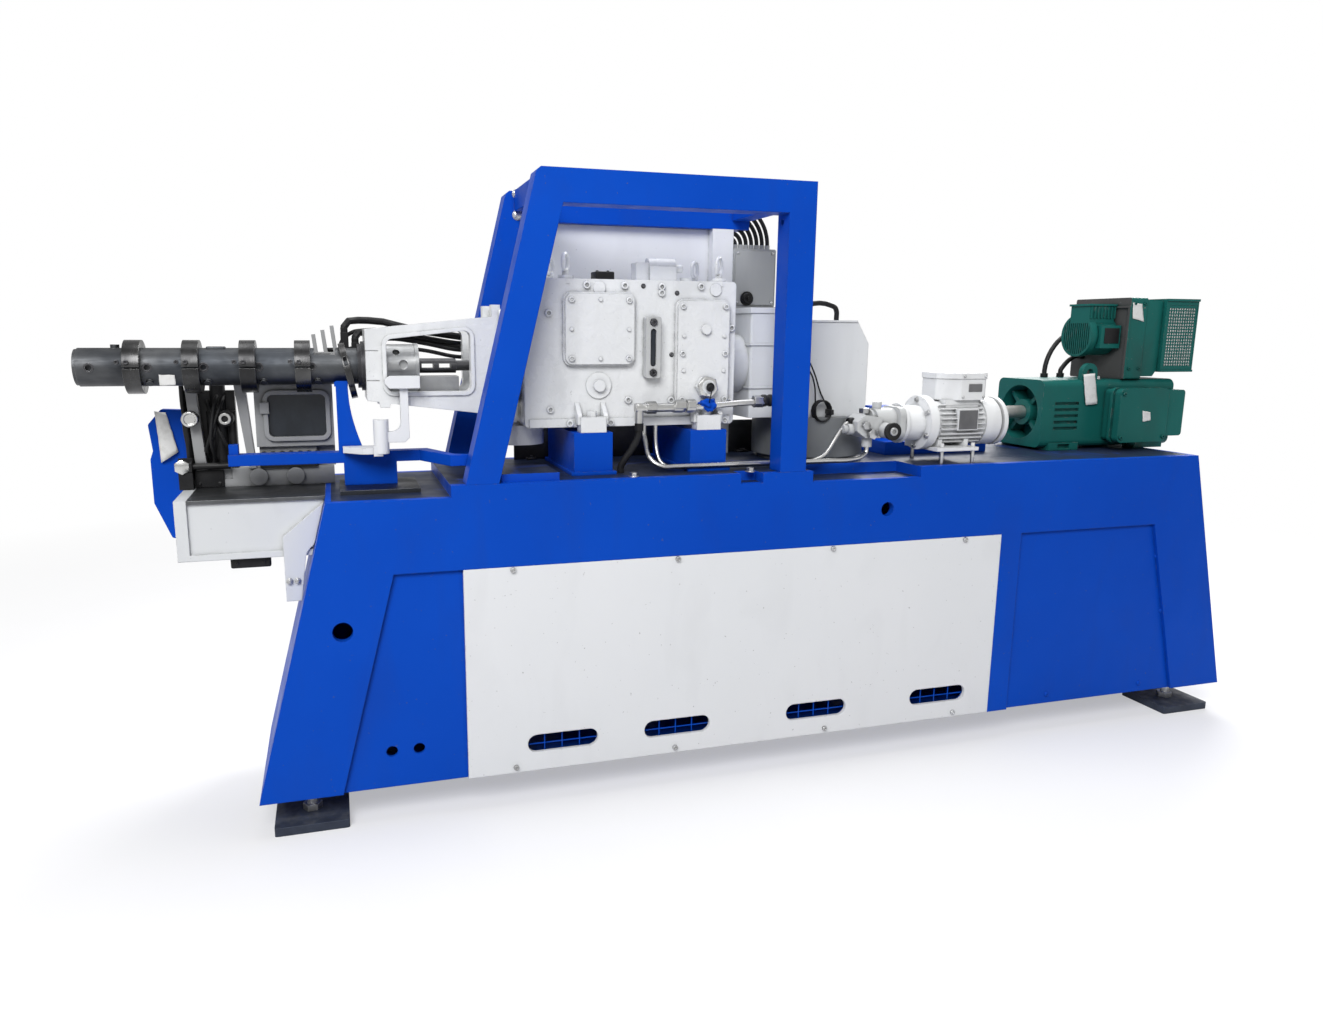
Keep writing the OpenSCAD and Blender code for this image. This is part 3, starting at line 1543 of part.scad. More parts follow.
// The square motor with its open drive flange, ribs, louvres, feet, top plate and lifting lug
module motor_body() {
  louvre = [motor_x + 44, motor_x + 128];
  lug_x = motor_x + 166;
  color(green)
    difference() {
      union() {
        plate_yz([motor_x, motor_x1])
          polygon(motor_outline(0));
        for (x = [motor_x + 30, motor_x1 - 130], y = [motor_front + 18, motor_front + motor_w - 18])
          box([x, x + 104], [y - 22, y + 22], [deck_z, motor_z - motor_w / 2 + 14]);
        box([motor_x + 140, motor_x1 - 12], [motor_y - 84, motor_y + 84], [motor_top - 1, motor_top]);
        plate_xz([motor_front + 10, motor_front + 26])
          polygon(concat(
            [[lug_x + 30, motor_top - 30], [lug_x - 30, motor_top - 30]],
            [for (a = [180 : -15 : 0]) [lug_x + 27 * cos(a), motor_top + 20 + 27 * sin(a)]]
          ));
      }
      difference() {
        rod_x([motor_x - 1, motor_x + flange_depth], motor_y, motor_z, flange_bore_d);
        rod_x([motor_x + 10, motor_x + flange_depth + 1], motor_y, motor_z, hub_d);
        for (a = [45 : 90 : 315])
          translate([0, motor_y, motor_z])
            rotate([a, 0, 0])
              box([motor_x + 18, motor_x + flange_depth + 1], [-6, 6], [0, flange_bore_d / 2 + 1]);
      }
      rod_x([motor_x - 1, motor_x + flange_depth + 60], motor_y, motor_z, motor_shaft_d + 2 * shaft_gap);
      for (i = [0 : 4])
        box(louvre, [motor_front - 1, motor_front + 7], [motor_z - 46 + 18 * i, motor_z - 38 + 18 * i]);
      for (y = [motor_front - 5, motor_front + motor_w + 5])
        box([motor_x + 62, motor_x + 104], [y - 12, y + 12], [deck_z + 6, motor_z - motor_w / 2 + 10]);
      rod_y(lug_x, [motor_front, motor_front + 40], motor_top + 20, 22);
    }
}

module motor_shaft() {
  x0 = motor_x - motor_shaft_l;
  color("silver")
    difference() {
      rod_x([x0, motor_x + flange_depth + 50], motor_y, motor_z, motor_shaft_d);
      box([x0 - 1, x0 + 60], [motor_y - 5, motor_y + 5], [motor_z + motor_shaft_d / 2 - 5, motor_z + 40]);
    }
}

// A layered box: body, gasket edge and rounded lid, with a shallow part at its right
module motor_terminal_box() {
  y = motor_front;
  x1 = term_x + term_l - 26;
  color(green) {
    plate_xz([y - term_w * 0.45, y])
      round_rect([term_x + 10, x1 - 4], [term_z, term_z + term_h], 12);
    plate_xz([y - term_w * 0.6, y - term_w * 0.45])
      round_rect([term_x, x1 + 6], [term_z - 5, term_z + term_h + 5], 16);
    plate_xz([y - term_w * 0.7, y - term_w * 0.6])
      round_rect([term_x + 5, x1 + 1], [term_z, term_z + term_h], 15);
    plate_xz([y - term_w, y - term_w * 0.7])
      round_rect([term_x + 2, x1 + 4], [term_z - 3, term_z + term_h + 3], 16);
    plate_xz([y - 42, y])
      round_rect([x1 - 40, x1 + 92], [term_z + 10, term_z + term_h - 4], 10);
    rod_z(term_x + 90, y - 36, [term_z - 12, term_z], 26);
  }
}

// A square fan casing with an open top rim, and the duct to the filter
module blower_housing() {
  y = [motor_y - 97, motor_y - 97 + blower_w];
  x1 = blower_x + blower_l;
  top = blower_z + blower_h;
  rim = 4;
  color(green) {
    difference() {
      plate_yz([blower_x, x1])
        round_rect(y, [blower_z, top], 6);
      box([blower_x + rim, x1 - rim], [y[0] + rim, y[1] - rim], [top - 16, top + 1]);
    }
    box([blower_x - 5, blower_x + 1], [y[0] - 3, y[1] - 4], [top - 30, top - 24]);
    box([blower_x - 5, blower_x + 1], [y[0] - 3, y[0] + 6], [blower_z + 2, top - 24]);
    plate_xz([y[0] + 6, y[0] + filter_w + 12])
      polygon([
        [x1 - 1, blower_z + 8],
        [filter_x - 14, blower_z + 8],
        [filter_x, filter_z + 2],
        [filter_x, filter_z + filter_h],
        [x1 - 1, filter_z + filter_h + 2]
      ]);
  }
}

// The fan motor with its slotted end, its front boss and the ribbed box on top
module blower_motor() {
  y = motor_y;
  x0 = blower_x - fan_l;
  color(green) {
    difference() {
      union() {
        rod_x([x0, blower_x - 76], y, fan_z, fan_d);
        rod_x([blower_x - 77, blower_x], y, fan_z, fan_d - 8);
      }
      intersection() {
        rod_x([x0 - 1, x0 + 6], y, fan_z, fan_d - 14);
        for (i = [-6 : 6])
          box([x0 - 2, x0 + 8], [y + 8 * i - 2, y + 8 * i + 2], [fan_z - fan_d, fan_z + fan_d]);
      }
    }
    box([blower_x - 74, blower_x - 4], [y - fan_d / 2 - 10, y], [fan_z - 36, fan_z + 30]);
    box([blower_x - 98, blower_x - 8], [y - 46, y + 30], [fan_z + 36, fan_z + 88]);
    for (i = [0 : 7])
      box([blower_x - 96 + 12 * i, blower_x - 92 + 12 * i], [y - 50, y - 45], [fan_z + 50, fan_z + 84]);
    box([blower_x - 102, blower_x - 4], [y - 50, y + 34], [fan_z + 86, fan_z + 92]);
  }
}

// The filter box with overhanging caps and a wire grille in its front frame
module air_filter() {
  x1 = filter_x + filter_l;
  y = [motor_y - 104, motor_y - 104 + filter_w];
  z1 = filter_z + filter_h;
  inner_x = [filter_x + filter_rim, x1 - 4];
  inner_z = [filter_z + filter_rim, z1 - filter_rim];
  color(green) {
    box([filter_x, x1], [y[0] + 8, y[1]], [filter_z, z1]);
    for (z = [filter_z, z1 - filter_rim])
      box([filter_x, x1], [y[0], y[0] + 9], [z, z + filter_rim]);
    box([filter_x, inner_x[0]], [y[0], y[0] + 9], [filter_z, z1]);
    box([inner_x[1], x1], [y[0], y[0] + 9], [filter_z, z1]);
    box([filter_x, x1], [y[0] - 4, y[1] + 4], [z1 - 1, z1 + 6]);
    box([filter_x, x1], [y[0] - 3, y[1] + 3], [filter_z - 5, filter_z + 1]);
    plate_xz([y[0] + 1, y[0] + 9])
      difference() {
        translate([inner_x[0] - 1, inner_z[0] - 1])
          square([inner_x[1] - inner_x[0] + 2, inner_z[1] - inner_z[0] + 2]);
        for (x = [inner_x[0] : grille_pitch : inner_x[1] - grille_pitch])
          for (z = [inner_z[0] : grille_pitch : inner_z[1] - grille_pitch])
            translate([x + grille_wire / 2, z + grille_wire / 2])
              square(grille_pitch - grille_wire);
      }
  }
}

// Two bent hoses from the fan casing down to the motor's top, each end held in a short gland
module blower_hoses() {
  y = motor_y + 74;
  top = motor_top;
  color(black)
    for (i = [0, 1])
      let (z = fan_z + 11 - 72 * i, end = blower_x - 138 + 60 * i) {
        hose([
          [blower_x, y, z], [blower_x - 8, y, z], [blower_x - 16, y, z],
          [blower_x - 71 + 30 * i, y, z - 10 + 2 * i], [end + 19 - 10 * i, y, top + 81 - 48 * i],
          [end, y, top + 20], [end, y, top + 10], [end, y, top]
        ], 14);
        rod_z(end, y, [top, top + 12], 22);
        rod_x([blower_x - 15, blower_x], y, z, 22);
      }
}

base_front_side();
base_rear_side();
base_deck();
base_ends();
side_panels();
foot_pads();
levelling_bolts();
front_frame();
rear_frame();
back_panel();
junction_box();
junction_cables();
gearbox_housing();
gearbox_covers();
oil_gauge();
eyebolts();
gearbox_fittings();
gearbox_pedestals();
lantern();
feed_cylinder();
drive_shaft();
barrel();
barrel_clamps();
barrel_flange();
slide_beam();
beam_rail();
end_plate();
guard_bar();
ledge_plate();
feed_arm();
head_casting();
head_window();
head_glass();
head_fittings();
cable_bundle();
coupling_guard();
guard_pipe();
guard_pedestal();
pump_motor();
oil_pump();
oil_pipes();
oil_hose();
motor_plinth();
motor_body();
motor_shaft();
motor_terminal_box();
blower_housing();
blower_motor();
air_filter();
blower_hoses();
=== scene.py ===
import json
import math

import bmesh
import bpy
from mathutils import Matrix, Vector, noise


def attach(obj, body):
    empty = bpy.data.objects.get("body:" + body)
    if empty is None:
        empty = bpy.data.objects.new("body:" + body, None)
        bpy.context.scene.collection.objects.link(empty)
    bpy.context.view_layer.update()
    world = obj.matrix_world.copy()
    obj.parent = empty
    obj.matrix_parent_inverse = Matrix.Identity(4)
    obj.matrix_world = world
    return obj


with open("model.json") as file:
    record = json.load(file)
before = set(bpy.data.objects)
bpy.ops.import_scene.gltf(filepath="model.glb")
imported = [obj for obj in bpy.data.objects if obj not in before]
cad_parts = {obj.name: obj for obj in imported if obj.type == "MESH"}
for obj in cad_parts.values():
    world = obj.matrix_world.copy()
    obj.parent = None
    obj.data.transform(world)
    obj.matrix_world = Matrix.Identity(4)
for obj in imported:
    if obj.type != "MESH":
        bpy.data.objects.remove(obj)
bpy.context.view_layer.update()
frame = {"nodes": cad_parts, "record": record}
nodes = frame["nodes"]
scene = bpy.context.scene


# Camera, at the place where the machine was seen from

def make_camera():
    lens = bpy.data.cameras.new("camera")
    eye = bpy.data.objects.new("camera", lens)
    scene.collection.objects.link(eye)
    place = Vector((-0.993, -2.290, 1.110))
    right = Vector((0.95687, -0.29046, 0.00550))
    up = Vector((0.05042, 0.18467, 0.98151))
    back = Vector((-0.28610, -0.93890, 0.19135))
    turn = Matrix((right, up, back)).transposed().to_4x4()
    eye.matrix_world = Matrix.Translation(place) @ turn
    lens.sensor_width = 36.0
    lens.lens = 25.745
    lens.shift_x = 0.0288
    lens.shift_y = 0.0057
    lens.clip_end = 200.0
    scene.camera = eye


make_camera()


# Node helpers

def add(tree, kind, **values):
    """A shader node, with its properties and its unlinked sockets set by name."""
    node = tree.nodes.new(kind)
    for key, value in values.items():
        if hasattr(node, key):
            setattr(node, key, value)
        else:
            node.inputs[key.replace("_", " ")].default_value = value
    return node


def place_on(tree, stretch=(1, 1, 1), shift=(0, 0, 0)):
    where = add(tree, "ShaderNodeTexCoord")
    turn = add(tree, "ShaderNodeMapping")
    turn.inputs["Scale"].default_value = stretch
    turn.inputs["Location"].default_value = shift
    tree.links.new(where.outputs["Object"], turn.inputs["Vector"])
    return turn.outputs["Vector"]


def grain(tree, scale, detail=4.0, stretch=(1, 1, 1), shift=(0, 0, 0), warp=0.0):
    noisy = add(tree, "ShaderNodeTexNoise", Scale=scale, Detail=detail, Distortion=warp)
    tree.links.new(place_on(tree, stretch, shift), noisy.inputs["Vector"])
    return noisy.outputs["Fac"]


def along(tree, axis):
    """The place along one axis, in metres."""
    split = add(tree, "ShaderNodeSeparateXYZ")
    tree.links.new(place_on(tree), split.inputs["Vector"])
    return split.outputs[axis]


def ramp(tree, value, low, high, start=0.0, end=1.0):
    """A value stretched from low..high to start..end, and held there."""
    node = add(tree, "ShaderNodeMapRange")
    node.inputs["From Min"].default_value = low
    node.inputs["From Max"].default_value = high
    node.inputs["To Min"].default_value = start
    node.inputs["To Max"].default_value = end
    tree.links.new(value, node.inputs["Value"])
    return node.outputs["Result"]


def sum_of(tree, operation, a, b):
    node = add(tree, "ShaderNodeMath", operation=operation, use_clamp=operation == "ADD")
    for socket, value in zip(node.inputs, (a, b)):
        if isinstance(value, (int, float)):
            socket.default_value = value
        else:
            tree.links.new(value, socket)
    return node.outputs["Value"]


def tint(tree, mask, under, over):
    """The colour under, covered by the colour over where the mask is one."""
    node = add(tree, "ShaderNodeMix", data_type="RGBA")
    tree.links.new(mask, node.inputs["Factor"])
    for name, value in (("A", under), ("B", over)):
        socket = [s for s in node.inputs if s.name == name and s.type == "RGBA"][0]
        if isinstance(value, tuple):
            socket.default_value = (*value, 1.0)
        else:
            tree.links.new(value, socket)
    return [s for s in node.outputs if s.type == "RGBA"][0]


def rounded_edge(tree, radius):
    """A softened normal near edges, and a mask that is one right on an edge."""
    soft = add(tree, "ShaderNodeBevel", samples=4)
    soft.inputs["Radius"].default_value = radius
    true = add(tree, "ShaderNodeNewGeometry")
    dot = add(tree, "ShaderNodeVectorMath", operation="DOT_PRODUCT")
    tree.links.new(soft.outputs["Normal"], dot.inputs[0])
    tree.links.new(true.outputs["Normal"], dot.inputs[1])
    return soft.outputs["Normal"], ramp(tree, dot.outputs["Value"], 0.99, 0.86)


def facing(tree, axis, low=0.6, high=0.95):
    """One on faces that look along an axis."""
    true = add(tree, "ShaderNodeNewGeometry")
    split = add(tree, "ShaderNodeSeparateXYZ")
    tree.links.new(true.outputs["Normal"], split.inputs["Vector"])
    return ramp(tree, split.outputs[axis], low, high)


def painted_corner_shade(tree, amount, reach=0.012):
    """Painted shade that darkens corners and round bolt heads, from a short occlusion test, broken up by a
    fine noise.
    """
    near = add(tree, "ShaderNodeAmbientOcclusion", samples=4)
    near.inputs["Distance"].default_value = reach
    deep = ramp(tree, near.outputs["AO"], 0.85, 0.35)
    broken = ramp(tree, grain(tree, 45.0, 5.0), 0.25, 0.6, 0.35 * amount, amount)
    return sum_of(tree, "MULTIPLY", deep, broken)


def blank(name):
    material = bpy.data.materials.new(name)
    material.use_nodes = True
    tree = material.node_tree
    shader = tree.nodes["Principled BSDF"]
    return material, tree, shader


def relief(tree, shader, height, depth, normal=None):
    bump = add(tree, "ShaderNodeBump", Strength=1.0, Distance=depth)
    tree.links.new(height, bump.inputs["Height"])
    if normal is not None:
        tree.links.new(normal, bump.inputs["Normal"])
    tree.links.new(bump.outputs["Normal"], shader.inputs["Normal"])


# Finishes

def paint(name, colour, shade, bare, gloss=0.34, chips=0.6, dirt=0.25, edge=0.003, peel=0.00008, cast=0.0,
          darker_on_top=0.0, shine=0.3, bare_below=0.0, corner_shade=0.0, grey_left=False):
    """Brushed-on machine paint: uneven tone, grime that settles, chipped edges and a fine peel."""
    material, tree, shader = blank(name)
    normal, rim = rounded_edge(tree, edge)
    tone = ramp(tree, grain(tree, 2.2, 3.0), 0.3, 0.7)
    body = tint(tree, tone, shade, colour)
    grime = ramp(tree, grain(tree, 9.0, 8.0, stretch=(1, 1, 0.35), warp=0.6), 0.52, 0.78, 0.0, dirt)
    body = tint(tree, grime, body, tuple(0.35 * c + 0.02 for c in shade))
    if grey_left:
        body = tint(tree, facing(tree, "X", -0.8, -0.95), body, (0.075, 0.075, 0.075))
    # Darker on upward faces, in noisy patches, towards a near-black blue.
    if darker_on_top:
        top_patches = ramp(tree, grain(tree, 7.0, 6.0, warp=1.2), 0.12, 0.42, 0.0, darker_on_top)
        body = tint(tree, sum_of(tree, "MULTIPLY", facing(tree, "Z"), top_patches), body, (0.017, 0.024, 0.042))
    # Painted shade: corners and the rings round bolt heads are darkened towards a dark copy of the shade
    # colour.
    if corner_shade:
        body = tint(tree, painted_corner_shade(tree, corner_shade), body, tuple(0.22 * c for c in shade))
    flake = ramp(tree, grain(tree, 55.0, 6.0), 0.56, 0.62)
    chipped = sum_of(tree, "MULTIPLY", sum_of(tree, "MULTIPLY", rim, flake), chips)
    body = tint(tree, chipped, body, bare)
    speck = ramp(tree, grain(tree, 130.0, 2.0), 0.745, 0.76, 0.0, min(1.0, chips))
    body = tint(tree, speck, body, bare)
    if bare_below:
        legs = ramp(tree, along(tree, "Z"), bare_below + 0.001, bare_below - 0.001)
        body = tint(tree, legs, body, (0.52, 0.52, 0.51))
        tree.links.new(legs, shader.inputs["Metallic"])
    tree.links.new(body, shader.inputs["Base Color"])
    worn = sum_of(tree, "ADD", ramp(tree, grain(tree, 14.0, 5.0), 0.3, 0.75, gloss - 0.08, gloss + 0.12),
                  sum_of(tree, "MULTIPLY", chipped, 0.25))
    tree.links.new(worn, shader.inputs["Roughness"])
    shader.inputs["Specular IOR Level"].default_value = shine
    height = ramp(tree, grain(tree, 160.0, 2.0), 0.0, 1.0)
    if cast:
        lumps = ramp(tree, grain(tree, 26.0, 5.0, warp=0.4), 0.25, 0.8, 0.0, cast)
        height = sum_of(tree, "ADD", sum_of(tree, "MULTIPLY", height, 0.25), lumps)
    relief(tree, shader, height, peel, normal)
    return material


def metal(name, colour, shade, rough=0.35, run=(1, 1, 1), stain=None, scuff=0.5, edge=0.0015, deep=0.00006):
    """Turned or drawn steel: fine marks along the run, dull patches and bright worn edges."""
    material, tree, shader = blank(name)
    normal, rim = rounded_edge(tree, edge)
    marks = grain(tree, 240.0, 3.0, stretch=run)
    patch = ramp(tree, grain(tree, 11.0, 7.0, warp=0.5), 0.35, 0.7)
    body = tint(tree, patch, shade, colour)
    if stain:
        bloom = ramp(tree, grain(tree, 5.0, 6.0, shift=(3, 1, 2)), 0.5, 0.68, 0.0, 0.6)
        body = tint(tree, bloom, body, stain)
    worn = tuple(min(0.85, 2.2 * c + 0.1) for c in colour)
    body = tint(tree, sum_of(tree, "MULTIPLY", rim, scuff), body, worn)
    tree.links.new(body, shader.inputs["Base Color"])
    shader.inputs["Metallic"].default_value = 1.0
    flat = ramp(tree, patch, 0.0, 1.0, rough + 0.14, rough - 0.04)
    fine = ramp(tree, marks, 0.3, 0.7, -0.05, 0.06)
    tree.links.new(sum_of(tree, "ADD", flat, fine), shader.inputs["Roughness"])
    relief(tree, shader, marks, deep, normal)
    return material


def dull(name, colour, shade, rough=0.6, edge=0.002, grit=90.0, deep=0.0002, dust=0.3,
         ash=(0.25, 0.25, 0.24)):
    """Rubber, plastic or sleeving: matt, finely pitted and dusty on top."""
    material, tree, shader = blank(name)
    normal, rim = rounded_edge(tree, edge)
    body = tint(tree, ramp(tree, grain(tree, 18.0, 5.0), 0.35, 0.7), shade, colour)
    film = ramp(tree, grain(tree, 30.0, 6.0), 0.45, 0.75, 0.0, dust)
    body = tint(tree, sum_of(tree, "MULTIPLY", facing(tree, "Z", 0.2, 0.9), film), body, ash)
    body = tint(tree, sum_of(tree, "MULTIPLY", rim, 0.35), body, tuple(2.0 * c + 0.03 for c in colour))
    tree.links.new(body, shader.inputs["Base Color"])
    shader.inputs["Specular IOR Level"].default_value = 0.22
    worn = ramp(tree, grain(tree, 40.0, 4.0), 0.3, 0.7, rough - 0.1, rough + 0.12)
    tree.links.new(worn, shader.inputs["Roughness"])
    relief(tree, shader, grain(tree, grit, 3.0), deep, normal)
    return material


def tinted_glass(name):
    material, tree, shader = blank(name)
    smear = grain(tree, 16.0, 6.0, stretch=(1, 1, 0.5))
    body = tint(tree, ramp(tree, smear, 0.4, 0.75, 0.0, 0.5), (0.012, 0.016, 0.022), (0.05, 0.06, 0.075))
    tree.links.new(body, shader.inputs["Base Color"])
    tree.links.new(ramp(tree, smear, 0.35, 0.75, 0.06, 0.32), shader.inputs["Roughness"])
    shader.inputs["Specular IOR Level"].default_value = 0.3
    relief(tree, shader, smear, 0.0001)
    return material


def woven(name, colour, shade, pitch):
    """A fine wire cloth: crossing bright wires over a dim ground."""
    material, tree, shader = blank(name)
    waves = []
    for axis in ("X", "Z"):
        band = add(tree, "ShaderNodeTexWave", wave_type="BANDS", bands_direction=axis, Scale=pitch,
                   Distortion=0.4)
        tree.links.new(place_on(tree), band.inputs["Vector"])
        waves.append(band.outputs["Fac"])
    weave = sum_of(tree, "MAXIMUM", *waves)
    body = tint(tree, ramp(tree, weave, 0.35, 0.8), shade, colour)
    body = tint(tree, ramp(tree, grain(tree, 12.0, 5.0), 0.5, 0.8, 0.0, 0.5), body, shade)
    tree.links.new(body, shader.inputs["Base Color"])
    tree.links.new(ramp(tree, weave, 0.0, 1.0, 0.75, 0.45), shader.inputs["Roughness"])
    relief(tree, shader, weave, 0.0004)
    return material


def paper(name, colour, shade):
    """Blank card: pale, creased and finger-marked."""
    material, tree, shader = blank(name)
    crease = grain(tree, 40.0, 5.0, warp=1.0)
    body = tint(tree, ramp(tree, grain(tree, 60.0, 6.0), 0.5, 0.75, 0.0, 0.7), colour, shade)
    tree.links.new(body, shader.inputs["Base Color"])
    tree.links.new(ramp(tree, crease, 0.3, 0.7, 0.7, 0.9), shader.inputs["Roughness"])
    relief(tree, shader, crease, 0.0006)
    return material


BLUE = (0.0035, 0.072, 0.52)
BLUE_SHADE = (0.0025, 0.060, 0.46)
GREEN = (0.010, 0.130, 0.113)
GREEN_SHADE = (0.007, 0.094, 0.085)
finishes = {
    "blue_paint": paint("blue_paint", BLUE, BLUE_SHADE, (0.10, 0.11, 0.13), gloss=0.40, chips=0.5,
                        dirt=0.16, shine=0.06, corner_shade=0.6),
    "deck_paint": paint("deck_paint", BLUE, BLUE_SHADE, (0.10, 0.11, 0.13), gloss=0.40, dirt=0.3, darker_on_top=0.97,
                        shine=0.12),
    "white_panel": paint("white_panel", (0.80, 0.81, 0.83), (0.77, 0.785, 0.805), (0.20, 0.20, 0.20),
                         gloss=0.42, chips=0.5, dirt=0.07, peel=0.00004, shine=0.2, corner_shade=0.5),
    "white_cast": paint("white_cast", (0.80, 0.81, 0.815), (0.73, 0.745, 0.755), (0.22, 0.22, 0.21),
                        gloss=0.27, chips=0.4, dirt=0.22, peel=0.0022, cast=0.75, shine=0.5, corner_shade=0.85),
    "pump_white": paint("pump_white", (0.80, 0.81, 0.815), (0.74, 0.75, 0.76), (0.22, 0.22, 0.21),
                        gloss=0.38, chips=0.4, dirt=0.3, peel=0.0006, cast=0.5, bare_below=0.808,
                        corner_shade=0.85),
    "deck_dark": metal("deck_dark", (0.07, 0.075, 0.085), (0.03, 0.033, 0.038), rough=0.42, scuff=0.8),
    "pad_black": dull("pad_black", (0.050, 0.062, 0.092), (0.028, 0.034, 0.052), rough=0.55),
    "bolt_steel": metal("bolt_steel", (0.56, 0.57, 0.58), (0.34, 0.34, 0.34), rough=0.3),
    "box_grey": paint("box_grey", (0.42, 0.43, 0.43), (0.36, 0.37, 0.37), (0.12, 0.12, 0.12), gloss=0.45,
                      dirt=0.3),
    "cable_black": dull("cable_black", (0.014, 0.014, 0.015), (0.007, 0.007, 0.008), rough=0.5, grit=200.0),
    "barrel_steel": metal("barrel_steel", (0.115, 0.118, 0.122), (0.045, 0.048, 0.053), rough=0.44,
                          run=(0.12, 1, 1), stain=(0.07, 0.078, 0.09), edge=0.002, deep=0.00016),
    "band_steel": metal("band_steel", (0.10, 0.10, 0.10), (0.035, 0.035, 0.036), rough=0.20,
                        run=(1, 0.15, 0.15)),
    "dark_steel": metal("dark_steel", (0.085, 0.085, 0.09), (0.04, 0.04, 0.043), rough=0.4, scuff=0.7),
    "tube_steel": metal("tube_steel", (0.62, 0.62, 0.61), (0.40, 0.40, 0.39), rough=0.24, run=(0.1, 1, 1)),
    "rail_steel": metal("rail_steel", (0.15, 0.155, 0.16), (0.075, 0.078, 0.082), rough=0.4,
                        run=(0.08, 1, 1)),
    "head_grey": paint("head_grey", (0.40, 0.405, 0.41), (0.28, 0.285, 0.29), (0.5, 0.5, 0.5), gloss=0.48,
                       dirt=0.6, chips=0.6, peel=0.0005, cast=0.5, corner_shade=0.9),
    "sight_glass": tinted_glass("sight_glass"),
    "black_parts": dull("black_parts", (0.018, 0.018, 0.019), (0.007, 0.007, 0.008), rough=0.42, dust=0.4),
    "motor_green": paint("motor_green", GREEN, GREEN_SHADE, (0.16, 0.17, 0.16), gloss=0.36, chips=0.7,
                         dirt=0.35, peel=0.00045, cast=0.5, shine=0.14, corner_shade=0.9),
    "blower_green": paint("blower_green", GREEN, GREEN_SHADE, (0.16, 0.17, 0.16), gloss=0.36, chips=0.9,
                          dirt=0.5, peel=0.00045, cast=0.5, shine=0.14, corner_shade=0.9, grey_left=True),
    "shaft_steel": metal("shaft_steel", (0.80, 0.79, 0.77), (0.58, 0.56, 0.53), rough=0.42,
                         run=(1, 0.15, 0.15)),
    "wire_cloth": woven("wire_cloth", (0.66, 0.66, 0.64), (0.30, 0.31, 0.30), 55.0),
    "cylinder_steel": metal("cylinder_steel", (0.44, 0.445, 0.45), (0.22, 0.225, 0.23), rough=0.34,
                            run=(0.12, 1, 1)),
    "card": paper("card", (0.72, 0.72, 0.71), (0.52, 0.52, 0.50)),
    "plate_black": dull("plate_black", (0.016, 0.016, 0.017), (0.008, 0.008, 0.009), rough=0.5, dust=0.1),
    # Grey paint, darkened further as the painted shadow that the guard casts on the pedestal.
    "pedestal_grey_painted_shadow": paint("pedestal_grey_painted_shadow", (0.22, 0.23, 0.235), (0.17, 0.18, 0.185), (0.12, 0.12, 0.12),
                           gloss=0.4, dirt=0.4, shine=0.2, corner_shade=0.6),
    # Painted shade: a darker copy of the white panel paint, for the guard and the slide beam.
    "guard_white_painted_shade": paint("guard_white_painted_shade", (0.71, 0.725, 0.735), (0.66, 0.675, 0.685), (0.20, 0.20, 0.20),
                         gloss=0.42, chips=0.5, dirt=0.15, peel=0.00004, shine=0.2, corner_shade=0.6),
    "gauge_grey": paint("gauge_grey", (0.56, 0.57, 0.57), (0.46, 0.47, 0.47), (0.3, 0.3, 0.3), gloss=0.3,
                        corner_shade=0.8),
    "pump_alloy": paint("pump_alloy", (0.60, 0.61, 0.61), (0.46, 0.47, 0.47), (0.2, 0.2, 0.2), gloss=0.36,
                        dirt=0.6, peel=0.0006, cast=0.5, corner_shade=0.95),
    "plate_grey": dull("plate_grey", (0.16, 0.16, 0.165), (0.11, 0.11, 0.115), rough=0.4, dust=0.2),
}

# Each node takes its slot's finish, or a closer one where the slot's other nodes look different; the guard
# and slide beam take a darker copy of the white panel paint as painted shade, and the pedestal's grey is
# darkened as the painted shadow of the guard
slots = {part["node"]: part["material_slot"] for part in frame["record"]["subparts"]}
other_finish = {
    "base_deck": "deck_paint",
    "gearbox_fittings": "white_cast",
    "oil_gauge": "gauge_grey",
    "feed_cylinder": "cylinder_steel",
    "slide_beam": "guard_white_painted_shade",
    "coupling_guard": "guard_white_painted_shade",
    "guard_pedestal": "pedestal_grey_painted_shadow",
    "pump_motor": "pump_white",
    "oil_pump": "pump_alloy",
    "blower_housing": "blower_green",
}
for name, solid in nodes.items():
    for holder in solid.material_slots:
        holder.material = finishes[other_finish.get(name, slots[name])]


# Shapes. Places and sizes are in millimetres, as on the drawing.

FRONT, REAR, LEFT, RIGHT, TOP = (0, -1, 0), (0, 1, 0), (-1, 0, 0), (1, 0, 0), (0, 0, 1)

# Faces, heights and axes of the machine that the small pieces sit on
SIDE_FACE, RECESS_FACE = 220, 210
GEAR_FACE, FOOT_FACE, COVER_FRONT, GAUGE_FRONT = 105, 110, -121, -126
DECK_TOP, MOTOR_TOP = 777, 981
BOX_FRONT, FRAME_REAR_BOLTS = 154, 194
BARREL_AXIS, CYLINDER_RADIUS = 1030, 50
LINE_Y, GLAND = -143, (-126, 981)
PUMP_Y, PUMP_Z, FLANGE_X, FLANGE_BOLTS = -120, 880, 475, 60
LID_FRONT, CASING_FRONT = -91, -20

# The largest angle between faces, in radians, that is still shaded smooth
CREASE, SOFT_CREASE, FLAT_SHEET = 0.6, 1.2, 3.0
CARD_STEPS = 10


def seat(place, axis=FRONT, spin=0.0):
    """The matrix that stands a shape drawn along +Z on a place, facing along an axis."""
    turn = Vector((0, 0, 1)).rotation_difference(Vector(axis)).to_matrix().to_4x4()
    return Matrix.Translation(Vector(place) / 1000) @ turn @ Matrix.Rotation(spin, 4, "Z")


